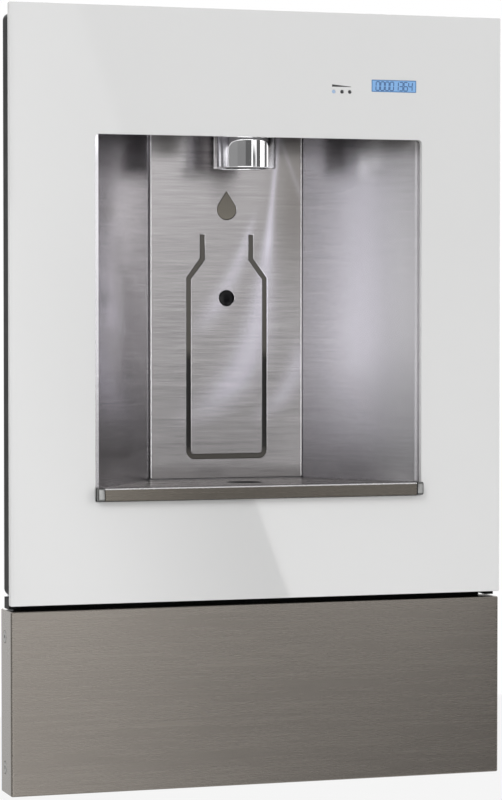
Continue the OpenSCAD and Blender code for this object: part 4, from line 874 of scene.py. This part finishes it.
def makeBar(d):
    half = d["barHalf"] - d["capGap"]
    bar = barShape(d["barFront"], d["barRear"], d["barLow"], d["barHigh"], d["barEdge"], -half, half, d["barEnd"])
    # a paler steel on the upper front rounding: a painted highlight
    middles = np.array([bar[0][f].mean(0) for f in bar[1]])
    paintedHighlight = (middles[:, 1] < d["barFront"] + 0.8 * d["barEdge"]) & (middles[:, 2] > d["barHigh"] - 0.95 * d["barEdge"])
    piece("trayBar", bar, "cover_steel", ["tray_bar"], "tray", barSteel, second=paintedHighlightSteel, inSecond=paintedHighlight)
    right = barShape(d["capFront"], d["barRear"], d["barLow"], d["capHigh"], d["capEdge"], d["barHalf"], d["capEnd"],
                     d["capOuter"], d["capInner"])
    piece("trayEndCaps", joined(onAxes(right, "-xyz"), right), "chrome_trim", ["tray_end_caps"], "tray", capChrome)


makeTray(tray)
makeBar(tray)
print("tray made")


# Rail in the gap between glass and cover

rail = dict(half=204.0, end=211.2, front=-24.0, rear=-8.0, low=146.0, endLow=150.4, high=159.8, thick=1.2, edge=0.15,
            corner=0.4)


def makeRail(d):
    # an angle section in Y and Z carried along X, closed by a block at each end
    front, rear, low, high, half = d["front"], d["rear"], d["low"], d["high"], d["half"]
    inner, under = rear - d["thick"], high - d["thick"]
    angle = np.array([(front, under), (inner, under), (inner, low), (rear, low), (rear, high), (front, high)])
    block = rectangle(front, rear, d["endLow"], high, d["corner"])
    parts = [plate(loop, [], x0, x1, d["edge"])
             for loop, x0, x1 in ((angle, -half, half), (block, -d["end"], -half), (block, half, d["end"]))]
    piece("midRail", onAxes(joined(*parts), "yzx"), "dark_carrier", ["mid_rail"])


makeRail(rail)
print("rail made")


# Spring over the solenoid's plunger

spring = dict(x=-130.0, y=76.0, low=352.1, high=368.0, radius=2.6, wire=0.7, turns=7, perTurn=24, sides=10)


def makeSpring(d):
    # a small circle of wire carried along a helix that climbs evenly
    rows, half, sides = d["turns"] * d["perTurn"] + 1, d["wire"] / 2, d["sides"]
    share = np.linspace(0, 1, rows)[:, None]
    turn = 2 * math.pi * d["turns"] * share
    b = np.linspace(0, 2 * math.pi, sides, endpoint=False)
    r = d["radius"] + half * np.cos(b)
    climb = d["low"] + half + (d["high"] - d["low"] - d["wire"]) * share + half * np.sin(b)
    verts, faces, smooth = gridShape(np.stack([d["x"] + r * np.cos(turn), d["y"] + r * np.sin(turn), climb], -1))
    faces += [list(range(sides)), list(range(sides * (rows - 1), sides * rows))[::-1]]
    foot, top = (tuple(inMetres((d["x"], d["y"], h))) for h in (d["low"], d["high"]))
    piece("plungerCoil", (verts, faces, smooth + [False] * 2), "zinc_steel", ["plunger_spring"],
          dict(moves="plunger", stays="housing", start=foot, end=top), sharpAngle=50)


makeSpring(spring)
print("spring made")


# Rivets of the wall box

rivets = dict(
    innerHalf=182.8, sheet=1.2, headRadius=3.9, headHigh=1.1, bodyRadius=2.0, tailRadius=2.7, tailLong=1.4,
    mandrel=((0, -0.7), (1.1, -0.7), (1.2, 0)), domeStart=1.3, domePower=2.4,
    sideYs=(20.0, 50.0, 80.0), sideHeights=(28.6, 199.0, 564.2, 609.0),
    backX=174.0, backY=97.8, backHeights=(30.0, 200.0, 400.0, 600.0),
)


def makeRivets(d):
    # a profile above the inner sheet face: mandrel hole, domed head, body and bulged tail
    t, h, first, body, tail = d["sheet"], d["headHigh"], d["domeStart"], d["bodyRadius"], d["tailRadius"]
    k = np.linspace(0, 1, 7)
    dome = np.stack([first + (d["headRadius"] - first) * k, t + h * (1 - k ** d["domePower"])], -1)
    end = -t - d["tailLong"]
    one = turned(np.concatenate([np.array(d["mandrel"]) + [0, t + h], dome, [
        (body, t), (body, -t), (tail, -t - 0.3), (tail - 0.4, end), (0, end)]])[::-1], 24)
    made = []
    for side, axes in bothSides:
        made += [onAxes(one, axes, (side * d["innerHalf"], y, h)) for y in d["sideYs"] for h in d["sideHeights"]]
        made += [onAxes(one, "x-zy", (side * d["backX"], d["backY"], h)) for h in d["backHeights"]]
    piece("boxRivets", joined(*made), "zinc_steel", ["chassis_rivets"])


makeRivets(rivets)
print("rivets made")


# Light and stage

def makeWorld():
    world = bpy.data.worlds.new("studio")
    bpy.context.scene.world = world
    world.use_nodes = True
    g = Graph(world.node_tree)
    rays = g.add("LightPath").outputs
    seen = g.maths("MAXIMUM", rays["Is Camera Ray"], rays["Is Glossy Ray"])
    seen = g.maths("MAXIMUM", seen, rays["Is Transmission Ray"])
    soft, white = (g.add("Background", Color=(1.0, 1.0, 1.0), Strength=strength) for strength in (0.42, 1.0))
    g.add("OutputWorld", Surface=g.add("MixShader", i0=seen, i1=soft, i2=white))


def stageFace(name, corners, material, unseenBy=()):
    mesh = bpy.data.meshes.new(name)
    mesh.from_pydata(corners, [], [(0, 1, 2, 3)])
    mesh.materials.append(material)
    made = linked(name, mesh)
    for ray in unseenBy:
        setattr(made, "visible_" + ray, False)


def makeFloor(height=-1.25, reach=9.0):
    material, g = newMaterial("paleFloor")
    rays = g.add("LightPath").outputs
    dull = g.add("BsdfPrincipled", BaseColor=g.ramp(g.noise(30.0, 4.0), [(0.3, 0.86), (0.7, 0.90)]), Roughness=0.8)
    seen = g.times(g.maths("MAXIMUM", rays["Is Camera Ray"], rays["Is Glossy Ray"]), 0.85)
    g.add("OutputMaterial", Surface=g.add("MixShader", i0=seen, i1=dull, i2=g.add("Emission")))
    stageFace("floor", [(x * reach, y * reach, height) for x, y in ((-1, -1), (1, -1), (1, 1), (-1, 1))], material)


def softBox(name, place, size, power, aim=(0, 0, 0.3)):
    data = bpy.data.lights.new(name, "AREA")
    data.shape = "RECTANGLE"
    data.size, data.size_y = size
    data.energy = power
    lamp = linked(name, data)
    lamp.location = place
    lamp.rotation_euler = (Vector(aim) - Vector(place)).to_track_quat("-Z", "Y").to_euler()


# Bright and dark cloths round the station, which only mirror rays see. The tones follow x and z in metres.
stageCards = dict(
    frontY=-2.5, leftX=-2.4, rightX=5.0, low=-1.24, high=2.2,
    # left of the tent it is dark only above, where the nozzle looks
    darkX=(-0.66, -0.58), darkZ=(0.55, 0.58), openEnd=(0.8, 0.9),
    openTone=((0.0, 1.1), (0.12, 2.0), (0.28, 3.8), (0.46, 4.2), (0.53, 3.6), (0.58, 0.30), (2.0, 0.25)), near=0.15,
    # the tent's seam runs along x = seamX + seamLean * z
    tent=(0.377, 1.275), seamX=0.830, seamLean=-0.375, climb=(-0.12, 0.7), roof=(0.93, 1.05), roofTone=0.6,
    leftNear=(0.0, 2.4), leftFar=3.6, leftRun=0.42, rightNear=(2.9, 1.7), rightFar=(2.6, 1.65), rightRun=0.40,
    # a darker field in the tent: its start, its end and its soft edge
    middleX=(0.545, 1.10, 0.02), middleZ=(0.075, 0.66, 0.02),
    middleTone=((0.08, 0.12), (0.20, 0.25), (0.35, 0.45), (0.50, 1.05), (0.60, 0.7), (0.64, 0.15)),
    foot=-0.14, footX=(-0.1, 1.2), footTone=(0.92, 0.12),
    footGain=((-1.2, 3.0), (-0.6, 2.3), (-0.42, 1.6), (-0.30, 0.95), (-0.15, 0.35)),
    wallX=(3.3, 3.6), wallTone=((0.05, 0.35), (0.25, 0.75), (0.55, 0.8), (0.7, 0.5)),
    sideTone=((0.0, 0.2), (0.15, 0.5), (0.30, 1.4), (0.48, 1.9), (0.53, 1.6), (0.58, 0.35), (2.0, 0.30)),
    lampY=(-1.55, -0.55), lampTone=1.6,
)


def makeCards(c):
    def frontTone(g, x, y, z):
        facing = g.times(g.rise(x, *c["darkX"]), g.rise(z, *c["darkZ"]))
        tone = g.between(g.steps(z, c["openTone"]), c["near"], g.maths("MAXIMUM", facing, g.rise(x, *c["openEnd"])))
        u = g.maths("SUBTRACT", x, g.plus(g.times(z, c["seamLean"]), c["seamX"]))
        up = g.rise(z, *c["climb"])
        left = g.between(g.between(*c["leftNear"], up), c["leftFar"], g.rise(u, 0.0, -c["leftRun"]))
        right = g.between(g.between(*c["rightNear"], up), g.between(*c["rightFar"], up),
                          g.rise(u, 0.0, c["rightRun"]))
        tent = g.between(left, right, g.rise(u, -0.001, 0.001))
        hidden = g.times(g.inside(x, *c["middleX"]), g.inside(z, *c["middleZ"]))
        tent = g.between(tent, g.steps(z, c["middleTone"]), hidden)
        tent = g.between(tent, c["roofTone"], g.rise(z, *c["roof"]))
        tone = g.between(tone, tent, g.inside(x, *c["tent"], 0.003))
        foot = g.times(g.between(*c["footTone"], g.rise(x, *c["footX"])), g.steps(z, c["footGain"]))
        tone = g.between(tone, foot, g.rise(z, c["foot"] + 0.012, c["foot"] - 0.012))
        return g.between(tone, g.steps(z, c["wallTone"]), g.rise(x, *c["wallX"]))

    def leftTone(g, x, y, z):
        return g.steps(z, c["sideTone"])

    def rightTone(g, x, y, z):
        return g.between(c["near"], c["lampTone"], g.inside(y, *c["lampY"], 0.1))

    front, left, right, low, high = c["frontY"], c["leftX"], c["rightX"], c["low"], c["high"]
    for name, xa, ya, xb, yb, tone in (("frontCloth", left, front, right, front, frontTone),
                                       ("leftCloth", left, 0.0, left, front, leftTone),
                                       ("rightCloth", right, front, right, 0.0, rightTone)):
        material, g = newMaterial(name)
        g.add("OutputMaterial", Surface=g.add("Emission", Strength=tone(g, *g.axes())))
        stageFace(name, [(xa, ya, low), (xb, yb, low), (xb, yb, high), (xa, ya, high)], material,
                  ("camera", "diffuse", "shadow", "transmission"))


makeWorld()
makeFloor()
makeCards(stageCards)
softBox("keyBox", (-1.9, -2.4, 2.3), (1.6, 1.6), 46)
softBox("fillBox", (2.4, -2.2, 1.2), (1.4, 1.8), 26)
softBox("rearBox", (0.6, 3.0, 2.0), (2.0, 2.0), 30)
print("light made")
